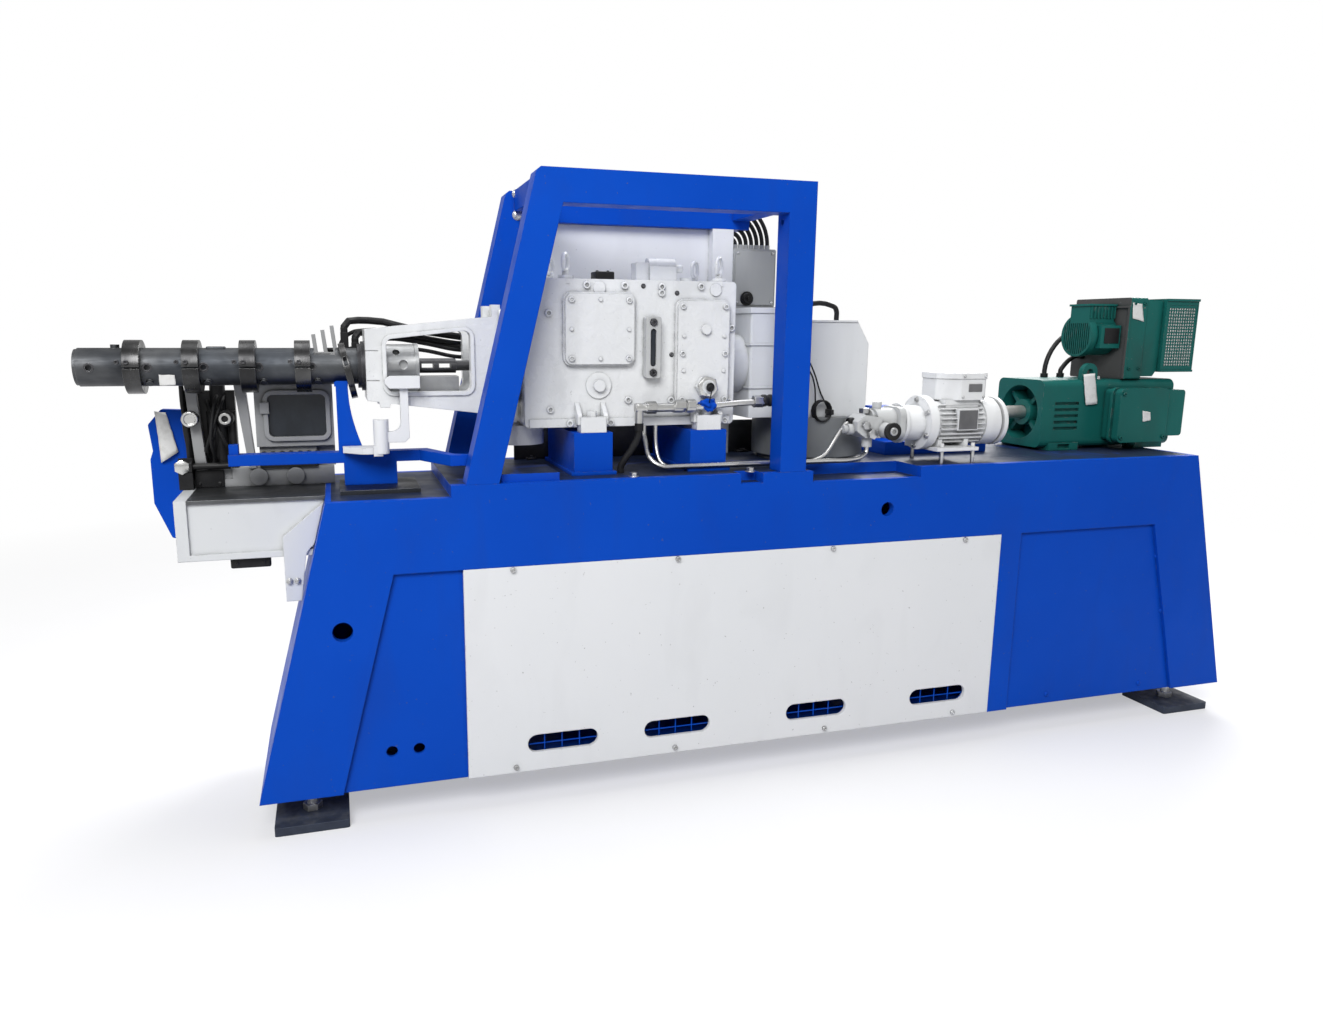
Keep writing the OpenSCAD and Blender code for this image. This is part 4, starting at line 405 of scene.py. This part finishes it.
def join(shape, form, where):
    """Close a form, point its faces outwards, and put it into the shape."""
    bmesh.ops.remove_doubles(form, verts=form.verts, dist=1e-6)
    bmesh.ops.recalc_face_normals(form, faces=form.faces)
    bmesh.ops.transform(form, matrix=where, verts=form.verts)
    mesh = bpy.data.meshes.new("form")
    form.to_mesh(mesh)
    form.free()
    shape.from_mesh(mesh)
    bpy.data.meshes.remove(mesh)


def turned(shape, where, outline, steps=16):
    """A lathe-turned form: radii and heights spun about the axis."""
    form = bmesh.new()
    points = [form.verts.new((r / 1000, 0, h / 1000)) for r, h in outline]
    edges = [form.edges.new(pair) for pair in zip(points, points[1:])]
    bmesh.ops.spin(form, geom=points + edges, axis=(0, 0, 1), cent=(0, 0, 0), angle=math.tau, steps=steps,
                   use_merge=True)
    join(shape, form, where)


def cap_screw(shape, where, wide, tall):
    r, socket = wide / 2, wide * 0.27
    turned(shape, where, [(0, tall * 0.4), (socket, tall * 0.4), (socket, tall), (r * 0.88, tall),
                          (r, tall * 0.85), (r, -1), (0, -1)], 14)


def dome_screw(shape, where, wide, tall):
    r = wide / 2
    turned(shape, where, [(0, tall * 0.75), (r * 0.25, tall * 0.75), (r * 0.3, tall), (r * 0.6, tall * 0.9),
                          (r * 0.85, tall * 0.6), (r, 0), (r, -1), (0, -1)], 14)


def rod(shape, where, wide, tall, steps=10):
    r, soft = wide / 2, min(wide / 8, tall / 4)
    turned(shape, where, [(0, 0), (r - soft, 0), (r, soft), (r, tall - soft), (r - soft, tall), (0, tall)],
           steps)


def ring(shape, where, inner, outer, tall, steps=20):
    a, b, soft = inner / 2, outer / 2, min(tall, outer - inner) / 6
    turned(shape, where, [(a, 0), (b, 0), (b, tall - soft), (b - soft, tall), (a + soft, tall),
                          (a, tall - soft), (a, 0)], steps)


def hexagon(shape, where, across, tall):
    """A six-sided head or nut, chamfered at both ends."""
    form = bmesh.new()
    radius = across / math.sqrt(3) / 1000
    deep = tall / 1000
    bmesh.ops.create_cone(form, cap_ends=True, segments=6, radius1=radius, radius2=radius, depth=deep,
                          matrix=Matrix.Translation((0, 0, deep / 2)))
    for side in (1, -1):
        end = max(form.faces, key=lambda face: side * face.calc_center_median().z)
        bmesh.ops.inset_individual(form, faces=[end], thickness=radius * 0.12, depth=radius * 0.06)
    join(shape, form, where)


def hex_bolt(shape, where, across, tall):
    rod(shape, where, across * 1.5, across * 0.12, 18)
    hexagon(shape, where, across, tall)


def slab(shape, low, high, soft=2.0):
    """A plate or block between two corners, with rounded edges."""
    form = bmesh.new()
    low, high = Vector(low) / 1000, Vector(high) / 1000
    size = high - low
    bmesh.ops.create_cube(form, size=1.0)
    bmesh.ops.scale(form, vec=size, verts=form.verts)
    bmesh.ops.bevel(form, geom=form.edges[:], offset=min(soft / 1000, min(size) * 0.4), offset_type="OFFSET",
                    segments=3, profile=0.5, affect="EDGES", material=-1)
    join(shape, form, Matrix.Translation((low + high) / 2))


def piece(name, shape, finish, body="machine", crease=CREASE):
    """A finished piece that rides on a body of the machine."""
    for face in shape.faces:
        face.smooth = True
    for edge in shape.edges:
        edge.smooth = edge.calc_face_angle(0.0) < crease
    mesh = bpy.data.meshes.new(name)
    shape.to_mesh(mesh)
    shape.free()
    mesh.materials.append(finishes[finish])
    made = bpy.data.objects.new(name, mesh)
    scene.collection.objects.link(made)
    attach(made, body)
    return made


def thicken(made, deep):
    """A thickness, in metres, for a piece drawn as one sheet."""
    thick = made.modifiers.new("thickness", "SOLIDIFY")
    thick.thickness, thick.offset = deep, 0.0


def both_faces(x, y, z):
    """One place on the front, and its twin on the rear."""
    return (((x, -y, z), FRONT), ((x, y, z), REAR))


# Screws and rivets of the side panels and recesses

shape = bmesh.new()
for x in (-624, -225, 190, 580):
    for z in (578, 96):
        for place, axis in both_faces(x, SIDE_FACE, z):
            cap_screw(shape, seat(place, axis), 13, 6)
piece("panel_screws", shape, "bolt_steel")

shape = bmesh.new()
for x, z in ((1236, 489), (1276, 324), (1324, 158), (1224, 107), (898, 108)):
    for place, axis in both_faces(x, RECESS_FACE, z):
        dome_screw(shape, seat(place, axis), 15, 4)
piece("recess_rivets", shape, "blue_paint")

shape = bmesh.new()
for x in (-509, -219, 164, 529):
    for side in (-1, 1):
        for rise in (-43, 0, 43):
            rod(shape, seat((x + rise, side * 205, 124), TOP), 3.2, 52, 8)
        rod(shape, seat((x - 92, side * 204, 143), RIGHT), 3.2, 184, 8)
piece("slot_grids", shape, "blue_paint")

# Fasteners of the gearbox, its covers and its gauge

shape = bmesh.new()
for x, z in ((-420, 1217), (-328, 1217), (-236, 1216), (-136, 1218), (-511, 1152), (-55, 1121), (-509, 930),
             (-318, 950), (-209, 948), (-56, 942), (-236, 1202)):
    for place, axis in both_faces(x, GEAR_FACE, z):
        cap_screw(shape, seat(place, axis), 17, 7)
for x in (-463, -363, -69):
    for place, axis in both_faces(x, FOOT_FACE, 897):
        cap_screw(shape, seat(place, axis), 17, 7)
piece("gearbox_bolts", shape, "white_cast")

shape = bmesh.new()
for x, z in ((-196, 1202), (-208, 1057), (-281, 1217)):
    dome_screw(shape, seat((x, -GEAR_FACE, z)), 12, 3)
for z in (1015, 1133):
    cap_screw(shape, seat((-262, GAUGE_FRONT, z)), 17, 8)
piece("gauge_screws", shape, "dark_steel")

shape = bmesh.new()
slab(shape, (-268.5, -124, 1031), (-255.5, -120.5, 1117), 1.2)
piece("gauge_glass", shape, "sight_glass")

shape = bmesh.new()
for x, z in ((-460, 1049), (-321, 1049), (-460, 1183), (-321, 1183), (-186, 950), (-76, 950), (-186, 1060),
             (-76, 1060), (-186, 1171), (-76, 1171)):
    cap_screw(shape, seat((x, COVER_FRONT, z)), 14, 6)
piece("cover_screws", shape, "white_cast")

# Fasteners of the frames, the junction box and the base

shape = bmesh.new()
for z in (1448, 1397):
    hex_bolt(shape, seat((-530, 160, z)), 17, 9)
for x, y in ((-30, -190), (-30, 40), (-330, -195)):
    hex_bolt(shape, seat((x, y, DECK_TOP), TOP, 0.4), 17, 10)
for x in (-1108, -1091):
    hex_bolt(shape, seat((x, -123, 561)), 10, 6)
for x in (1156, 1172, 1259):
    hex_bolt(shape, seat((x, 8, MOTOR_TOP), TOP, 0.2), 13, 9)
for x in (-420, -240, -60):
    for z in (1070, 1350):
        hex_bolt(shape, seat((x, FRAME_REAR_BOLTS, z), REAR), 13, 7)
for z in (830, 1100, 1340):
    hex_bolt(shape, seat((30, SIDE_FACE, z), REAR), 17, 9)
piece("frame_bolts", shape, "bolt_steel")

shape = bmesh.new()
for x in (72, 174):
    for z in (1192, 1322):
        dome_screw(shape, seat((x, BOX_FRONT, z)), 9, 4)
piece("junction_screws", shape, "bolt_steel")

shape = bmesh.new()
turned(shape, seat((100, BOX_FRONT, 1202)),
       [(0, 22), (6, 22), (6, 14), (13, 14), (15, 12), (15, 4), (19, 4), (19, -1), (0, -1)], 20)
piece("junction_plug", shape, "black_parts")

# Barrel: rims of the thermometer wells, clamp screws, the feed cylinder's screws

shape = bmesh.new()
for step in range(5):
    ring(shape, seat((-1484 + 111.5 * step, -39.5, BARREL_AXIS)), 12, 21, 2.6)
piece("well_rims", shape, "dark_steel")

shape = bmesh.new()
for x in (-1418, -1303, -1188, -1073):
    for shift in (-9, 9):
        cap_screw(shape, seat((x + shift, -57.4, 1042)), 10, 4)
piece("band_screws", shape, "dark_steel")

shape = bmesh.new()
for rise in (40, 8, -32):
    reach = math.sqrt(CYLINDER_RADIUS ** 2 - rise ** 2)
    cap_screw(shape, seat((-880, -reach, BARREL_AXIS + rise), (0, -reach, rise)), 13, 5)
piece("cylinder_screws", shape, "bolt_steel")

shape = bmesh.new()
slab(shape, (-1257, -13, 1066), (-1218, 13, 1074), 2.5)
piece("barrel_key", shape, "barrel_steel")

# Head unit: shining knobs

shape = bmesh.new()
turned(shape, seat((-1307, 37, 912)),
       [(0, 6), (11, 6), (13, 8), (16, 8), (18, 6), (18, 1), (16, -1), (0, -1)], 24)
ring(shape, seat((-1235, 50, 910)), 14, 27, 5, 24)
hexagon(shape, seat((-1332, 46, 803)), 30, 10)
piece("head_knobs", shape, "tube_steel")

# Oil line: shining nuts, a black union, and a twist of blue cloth

shape = bmesh.new()
for x, wide in ((-283, 24), (-212, 26), (-180, 20), (-6, 24)):
    hexagon(shape, seat((x, LINE_Y, 933 + 15 * (x + 301) / 400), RIGHT, 0.3), 26, wide)
hexagon(shape, seat((GLAND[0], -136, GLAND[1]), FRONT, 0.25), 46, 8)
piece("line_nuts", shape, "tube_steel")

shape = bmesh.new()
turned(shape, seat((15, LINE_Y, 946), RIGHT),
       [(8, 0), (13, 0), (15, 3), (15, 11), (13, 13), (13, 19), (15, 21), (15, 26), (12, 28), (8, 28),
        (8, 0)], 20)
turned(shape, seat((GLAND[0], -158, GLAND[1])),
       [(0, 4), (4, 4), (6, 2), (10, 2), (11, 0), (11, -1), (0, -1)], 18)
piece("line_union", shape, "black_parts")

shape = bmesh.new()
bmesh.ops.create_icosphere(shape, subdivisions=4, radius=0.016)
for vert in shape.verts:
    fold = noise.turbulence(vert.co * 95, 3, False) * 0.0075
    vert.co += vert.co.normalized() * fold
bmesh.ops.scale(shape, vec=(1.35, 0.95, 0.85), verts=shape.verts)
bmesh.ops.transform(shape, matrix=Matrix.Translation((-0.124, -0.143, 0.9385)), verts=shape.verts)
piece("cloth_twist", shape, "blue_paint", crease=SOFT_CREASE)

# Pump motor and pump: fasteners, connector and bare plates

shape = bmesh.new()
for step in range(6):
    turn = math.radians(30 + 60 * step)
    y, z = PUMP_Y + FLANGE_BOLTS * math.cos(turn), PUMP_Z + FLANGE_BOLTS * math.sin(turn)
    hex_bolt(shape, seat((FLANGE_X, y, z), LEFT), 10, 6)
for x in (574, 637):
    for front, z in ((-176, 948), (-178, 1002)):
        dome_screw(shape, seat((x, front, z)), 8, 3)
piece("pump_bolts", shape, "bolt_steel")

shape = bmesh.new()
slab(shape, (559, -190, 866), (614, -187.4, 915), 1.0)
piece("pump_name_plate", shape, "plate_grey")

shape = bmesh.new()
ring(shape, seat((359, -190.5, 866)), 22, 46, 9, 24)
ring(shape, seat((287, PUMP_Y, 884), LEFT), 12, 26, 16, 18)
piece("pump_plug", shape, "black_parts")

shape = bmesh.new()
cap_screw(shape, seat((359, -190.5, 866)), 22, 12)
hexagon(shape, seat((318, -163, 858), FRONT, 0.2), 24, 10)
hexagon(shape, seat((318, PUMP_Y, 908), TOP, 0.4), 24, 12)
hexagon(shape, seat((300, -161, PUMP_Z), FRONT, 0.5), 19, 9)
piece("pump_fittings", shape, "bolt_steel")

shape = bmesh.new()
slab(shape, (590, -178, 962), (630, -175.6, 982), 0.8)
piece("terminal_plate", shape, "plate_grey")

# Small black parts: breather, dark strip behind the gearbox feet, partly a plate and partly a painted shade,
# foot cover and beam latch

shape = bmesh.new()
slab(shape, (-381, -44, 1229), (-334, 4, 1252.5), 3.0)
for shift in (-371, -344):
    dome_screw(shape, seat((shift, -20, 1252), TOP), 9, 4)
piece("breather_block", shape, "black_parts")

shape = bmesh.new()
# Painted shade: the first strip is the plate behind the gearbox feet; the second, between the pedestal and
# the guard, is a dark sheet that stands in for the shade there.
for low, high, back in ((-545, -2, 176), (62, 160, 188)):
    slab(shape, (low, back, 776.5), (high, back + 5, 868), 1.5)
    for x in (low + 45, high - 45):
        slab(shape, (x - 14, back - 16, 776.5), (x + 14, back + 1, 782), 1.5)
        cap_screw(shape, seat((x, back - 8, 782), TOP), 9, 5)
piece("splash_strip_and_shade_sheet", shape, "dark_steel")

shape = bmesh.new()
slab(shape, (-1310, 62.5, 751), (-1247, 66.5, 792), 1.5)
for x in (-1300, -1257):
    dome_screw(shape, seat((x, 62.5, 759)), 8, 3)
piece("foot_cover", shape, "black_parts")

shape = bmesh.new()
slab(shape, (-1230, -101, 592), (-1146, -85, 616.6), 4.0)
for x in (-1216, -1160):
    dome_screw(shape, seat((x, -101, 604)), 8, 3)
piece("beam_latch", shape, "black_parts")

# Drive motor and blower: screws, bare plate and the filter's wire cloth

shape = bmesh.new()
for x, z in ((1180, 817), (1180, 943), (1334, 817)):
    cap_screw(shape, seat((x, LID_FRONT, z)), 11, 5)
for x, z in ((1255, 1200), (1290, 1200), (1290, 1012), (1255, 1012)):
    cap_screw(shape, seat((x, CASING_FRONT, z)), 9, 4)
piece("motor_screws", shape, "motor_green")

shape = bmesh.new()
slab(shape, (1179, 2.6, 1085), (1231, 5.5, 1129), 1.0)
piece("fan_name_plate", shape, "plate_black")

shape = bmesh.new()
bmesh.ops.create_grid(shape, x_segments=26, y_segments=44, size=0.5)
bmesh.ops.scale(shape, vec=(0.104, 0.178, 1.0), verts=shape.verts)
for vert in shape.verts:
    vert.co.z = 0.0003 * math.sin(vert.co.x * 160) * math.sin(vert.co.y * 120)
bmesh.ops.rotate(shape, cent=(0, 0, 0), matrix=Matrix.Rotation(math.pi / 2, 3, "X"), verts=shape.verts)
bmesh.ops.translate(shape, vec=(1.429, -0.0243, 1.108), verts=shape.verts)
thicken(piece("filter_cloth", shape, "wire_cloth", crease=FLAT_SHEET), 0.0008)


# Blank paper tags and labels

def card(name, corners, y, curl):
    """A limp blank card between four corners, bowed out from the face it hangs on."""
    shape = bmesh.new()
    bmesh.ops.create_grid(shape, x_segments=CARD_STEPS, y_segments=CARD_STEPS, size=0.5)
    top_left, top_right, low_right, low_left = [Vector(corner) / 1000 for corner in corners]
    for vert in shape.verts:
        u, v = vert.co.x + 0.5, vert.co.y + 0.5
        flat = low_left.lerp(low_right, u).lerp(top_left.lerp(top_right, u), v)
        ragged = noise.noise(Vector((flat.x * 60, flat.y * 60, y))) * 0.0012
        bow = curl * (math.sin(u * math.pi) * 0.5 + (1 - v) ** 2 * 0.5) / 1000
        vert.co = (flat.x + ragged, y / 1000 - abs(bow) - 0.0004, flat.y + ragged)
    thicken(piece(name, shape, "card", crease=FLAT_SHEET), 0.0005)


card("motor_tag", ((1092, 997), (1132, 1000), (1150, 911), (1108, 908)), -23, 5)
card("lid_label", ((1252, 894), (1281, 890), (1284, 866), (1256, 862)), LID_FRONT, 1.2)
card("casing_label", ((1246, 1203), (1280, 1199), (1292, 1148), (1250, 1158)), -20.3, 1.5)
card("barrel_label", ((-1351, 1015), (-1319, 1014), (-1319, 992), (-1351, 991)), -39, 0.5)
card("plate_tag", ((-1391, 926), (-1368, 922), (-1347, 830), (-1385, 806)), 115, 9)


# Cords: the spare cable by the guard, cables round the head and the lantern, and the thin gland wire

def cord(name, points, wide, finish="cable_black"):
    """A round cord or tube on one smooth open curve through its points."""
    curve = bpy.data.curves.new(name, "CURVE")
    curve.dimensions = "3D"
    curve.bevel_depth = wide / 2000
    curve.bevel_resolution = 3
    curve.use_fill_caps = True
    line = curve.splines.new("POLY")
    line.points.add(len(points) - 1)
    for point, place in zip(line.points, points):
        point.co = (*(Vector(place) / 1000), 1.0)
    line.use_smooth = True
    curve.materials.append(finishes[finish])
    made = bpy.data.objects.new(name, curve)
    scene.collection.objects.link(made)
    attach(made, "machine")
    return made


def flowing(knots, steps):
    """Even points on a smooth curve through a few knots."""
    knots = [Vector(knot) for knot in knots]
    ends = [2 * knots[0] - knots[1]] + knots + [2 * knots[-1] - knots[-2]]
    path = []
    for a, b, c, d in zip(ends, ends[1:], ends[2:], ends[3:]):
        for step in range(steps):
            t = step / steps
            path.append(0.5 * (2 * b + (c - a) * t + (2 * a - 5 * b + 4 * c - d) * t * t
                               + (3 * b - a - 3 * c + d) * t ** 3))
    return path + [knots[-1]]


HANK_X, HANK_Y, HANK_Z = 216, -69, 912
HANK_WIDE, HANK_TALL, HANK_PITCH = 24, 27, 5.4
HANK_STEPS, HANK_FIRST, HANK_LAST = 16, 2, 77
turns = []
for step in range(HANK_FIRST, HANK_LAST):
    turn = math.tau * step / HANK_STEPS
    turns.append((HANK_X + HANK_WIDE * math.sin(turn), HANK_Y - HANK_PITCH * step / HANK_STEPS,
                  HANK_Z + HANK_TALL * math.cos(turn)))
down = flowing([(150, -60, 1056), (152, -80, 1054), (168, -92, 1040), (190, -86, 1006), (212, -74, 965),
                (227, -69.5, 941), turns[0]], 4)
back = flowing([turns[-1], (191, -93, 940), (187, -94, 975), (178, -92, 1005), (164, -84, 1026),
                (152, -60, 1034)], 4)
spare_cable = cord("spare_cable", down + turns[1:] + back[1:], 4)
shape = bmesh.new()
slab(shape, (234.5, -98, 902), (244.5, -65, 916), 3.0)
spare_tie = piece("spare_tie", shape, "black_parts")


def laid(name, knots, wide):
    """A cable held in the machine at both its ends."""
    path = flowing(knots, 5)
    cord(name, path, wide)


HEAD_CABLES = (
    ((-1262, 86, 960), (-1254, 66, 938), (-1262, 52, 870), (-1284, 64, 834), (-1290, 80, 800)),
    ((-1248, 88, 968), (-1256, 58, 946), (-1267, 44, 872), (-1264, 56, 830), (-1258, 84, 796)),
    ((-1276, 88, 950), (-1268, 74, 928), (-1244, 60, 864), (-1234, 72, 832), (-1240, 86, 798)),
    ((-1236, 90, 962), (-1244, 62, 940), (-1268, 48, 873), (-1278, 60, 838), (-1272, 86, 804)),
    ((-1324, 66, 987), (-1325, 74, 940), (-1321, 78, 892), (-1318, 78, 842), (-1316, 80, 769)),
    ((-1326, 80, 987), (-1322, 81, 945), (-1325, 80, 890), (-1320, 76, 838), (-1321, 74, 769)),
)
HEAD_WIDTHS = (8, 8, 8, 8, 10, 10)
for step, (knots, wide) in enumerate(zip(HEAD_CABLES, HEAD_WIDTHS)):
    laid(f"head_cable_{step + 1}", knots, wide)

LANTERN_CABLES = (
    ((-975, 98, 1060), (-972, 98, 1078), (-962, 98, 1094), (-946, 98, 1105), (-925, 98, 1110),
     (-860, 98, 1112), (-780, 98, 1096), (-712, 104, 1084), (-672, 130, 1080), (-664, 160, 1080)),
    ((-1010, 98, 1065), (-960, 98, 1066), (-920, 98, 1076), (-860, 98, 1091), (-780, 98, 1081),
     (-712, 104, 1067), (-672, 130, 1063), (-664, 160, 1063)),
    ((-1010, 86, 1065), (-960, 87, 1066), (-915, 94, 1065), (-860, 98, 1070), (-780, 98, 1064),
     (-712, 104, 1050), (-672, 130, 1046), (-664, 160, 1046)),
)
for step, knots in enumerate(LANTERN_CABLES):
    laid(f"lantern_cable_{step + 1}", knots, 10)

# The second oil tube is rigid steel, bent like the first
SECOND_TUBE = (
    (276, -120, 884), (262, -120, 876), (236, -126, 846), (210, -132, 812), (188, -134, 796),
    (150, -135, 789), (60, -135, 787), (-60, -135, 787), (-190, -135, 787), (-226, -130, 790),
    (-240, -118, 804), (-244, -106, 830), (-245, -100, 860), (-245, -100, 890),
)
cord("second_tube", flowing(SECOND_TUBE, 4), 11, "tube_steel")

GLAND_WIRE = (
    (-126, -157, 981), (-126, -164, 980), (-127, -167, 970), (-128, -163, 957), (-127, -156, 947),
    (-125, -150, 942),
)
gland_wire = cord("gland_wire", flowing(GLAND_WIRE, 4), 3)


# Stage: pale floor, white surroundings and soft lamps

def seen_directly(tree):
    """One for rays from the eye, in a mirror or through glass."""
    ray = add(tree, "ShaderNodeLightPath")
    return sum_of(tree, "MAXIMUM", ray.outputs["Is Camera Ray"],
                  sum_of(tree, "MAXIMUM", ray.outputs["Is Glossy Ray"], ray.outputs["Is Transmission Ray"]))


def make_stage():
    sheet = bmesh.new()
    bmesh.ops.create_grid(sheet, x_segments=1, y_segments=1, size=60.0)
    mesh = bpy.data.meshes.new("floor")
    sheet.to_mesh(mesh)
    sheet.free()
    floor = bpy.data.objects.new("floor", mesh)
    floor.location = (0.0, 0.0, -0.0005)
    scene.collection.objects.link(floor)
    material, tree, shader = blank("pale_floor")
    mottle = ramp(tree, grain(tree, 1.6, 5.0), 0.3, 0.7)
    tree.links.new(tint(tree, mottle, (0.49, 0.49, 0.50), (0.51, 0.51, 0.52)), shader.inputs["Base Color"])
    shader.inputs["Roughness"].default_value = 0.8
    shader.inputs["Specular IOR Level"].default_value = 0.1
    seen = seen_directly(tree)
    shader.inputs["Emission Color"].default_value = (1.0, 1.0, 1.0, 1.0)
    tree.links.new(sum_of(tree, "MULTIPLY", seen, FLOOR_GLOW), shader.inputs["Emission Strength"])
    far = add(tree, "ShaderNodeVectorMath", operation="LENGTH")
    tree.links.new(place_on(tree), far.inputs[0])
    white = add(tree, "ShaderNodeEmission", Strength=1.0)
    blend = add(tree, "ShaderNodeMixShader")
    fade = sum_of(tree, "MULTIPLY", ramp(tree, far.outputs["Value"], 2.0, 4.5), seen)
    tree.links.new(fade, blend.inputs["Fac"])
    tree.links.new(shader.outputs["BSDF"], blend.inputs[1])
    tree.links.new(white.outputs["Emission"], blend.inputs[2])
    tree.links.new(blend.outputs["Shader"], tree.nodes["Material Output"].inputs["Surface"])
    mesh.materials.append(material)

    world = bpy.data.worlds.new("surroundings")
    scene.world = world
    world.use_nodes = True
    tree = world.node_tree
    sky = tree.nodes["Background"]
    sky.inputs["Color"].default_value = (1.0, 1.0, 1.0, 1.0)
    ray = add(tree, "ShaderNodeLightPath")
    seen = sum_of(tree, "MAXIMUM", ray.outputs["Is Camera Ray"], ray.outputs["Is Transmission Ray"])
    level = sum_of(tree, "MAXIMUM", sum_of(tree, "MULTIPLY", ray.outputs["Is Glossy Ray"], 0.6), seen)
    tree.links.new(sum_of(tree, "MAXIMUM", level, SKY_LEVEL), sky.inputs["Strength"])


def lamp(name, place, aim, size, power):
    light = bpy.data.lights.new(name, "AREA")
    light.shape = "RECTANGLE"
    light.size, light.size_y = size
    light.energy = power
    lit = bpy.data.objects.new(name, light)
    lit.location = place
    lit.rotation_euler = (Vector(aim) - Vector(place)).to_track_quat("-Z", "Y").to_euler()
    scene.collection.objects.link(lit)


FLOOR_GLOW, SKY_LEVEL = 0.43, 0.22
make_stage()
lamp("key_lamp", (-2.6, -4.2, 4.2), (-0.2, 0.0, 0.8), (3.5, 2.5), 300.0)
lamp("fill_lamp", (2.8, -4.0, 2.6), (0.4, 0.0, 0.7), (3.0, 2.5), 6.0)
lamp("top_lamp", (0.2, 0.6, 5.0), (0.0, 0.0, 0.8), (4.0, 2.5), 140.0)
lamp("back_lamp", (3.4, 3.2, 3.4), (0.0, 0.0, 0.6), (3.0, 2.0), 210.0)
scene.view_settings.view_transform = "Standard"
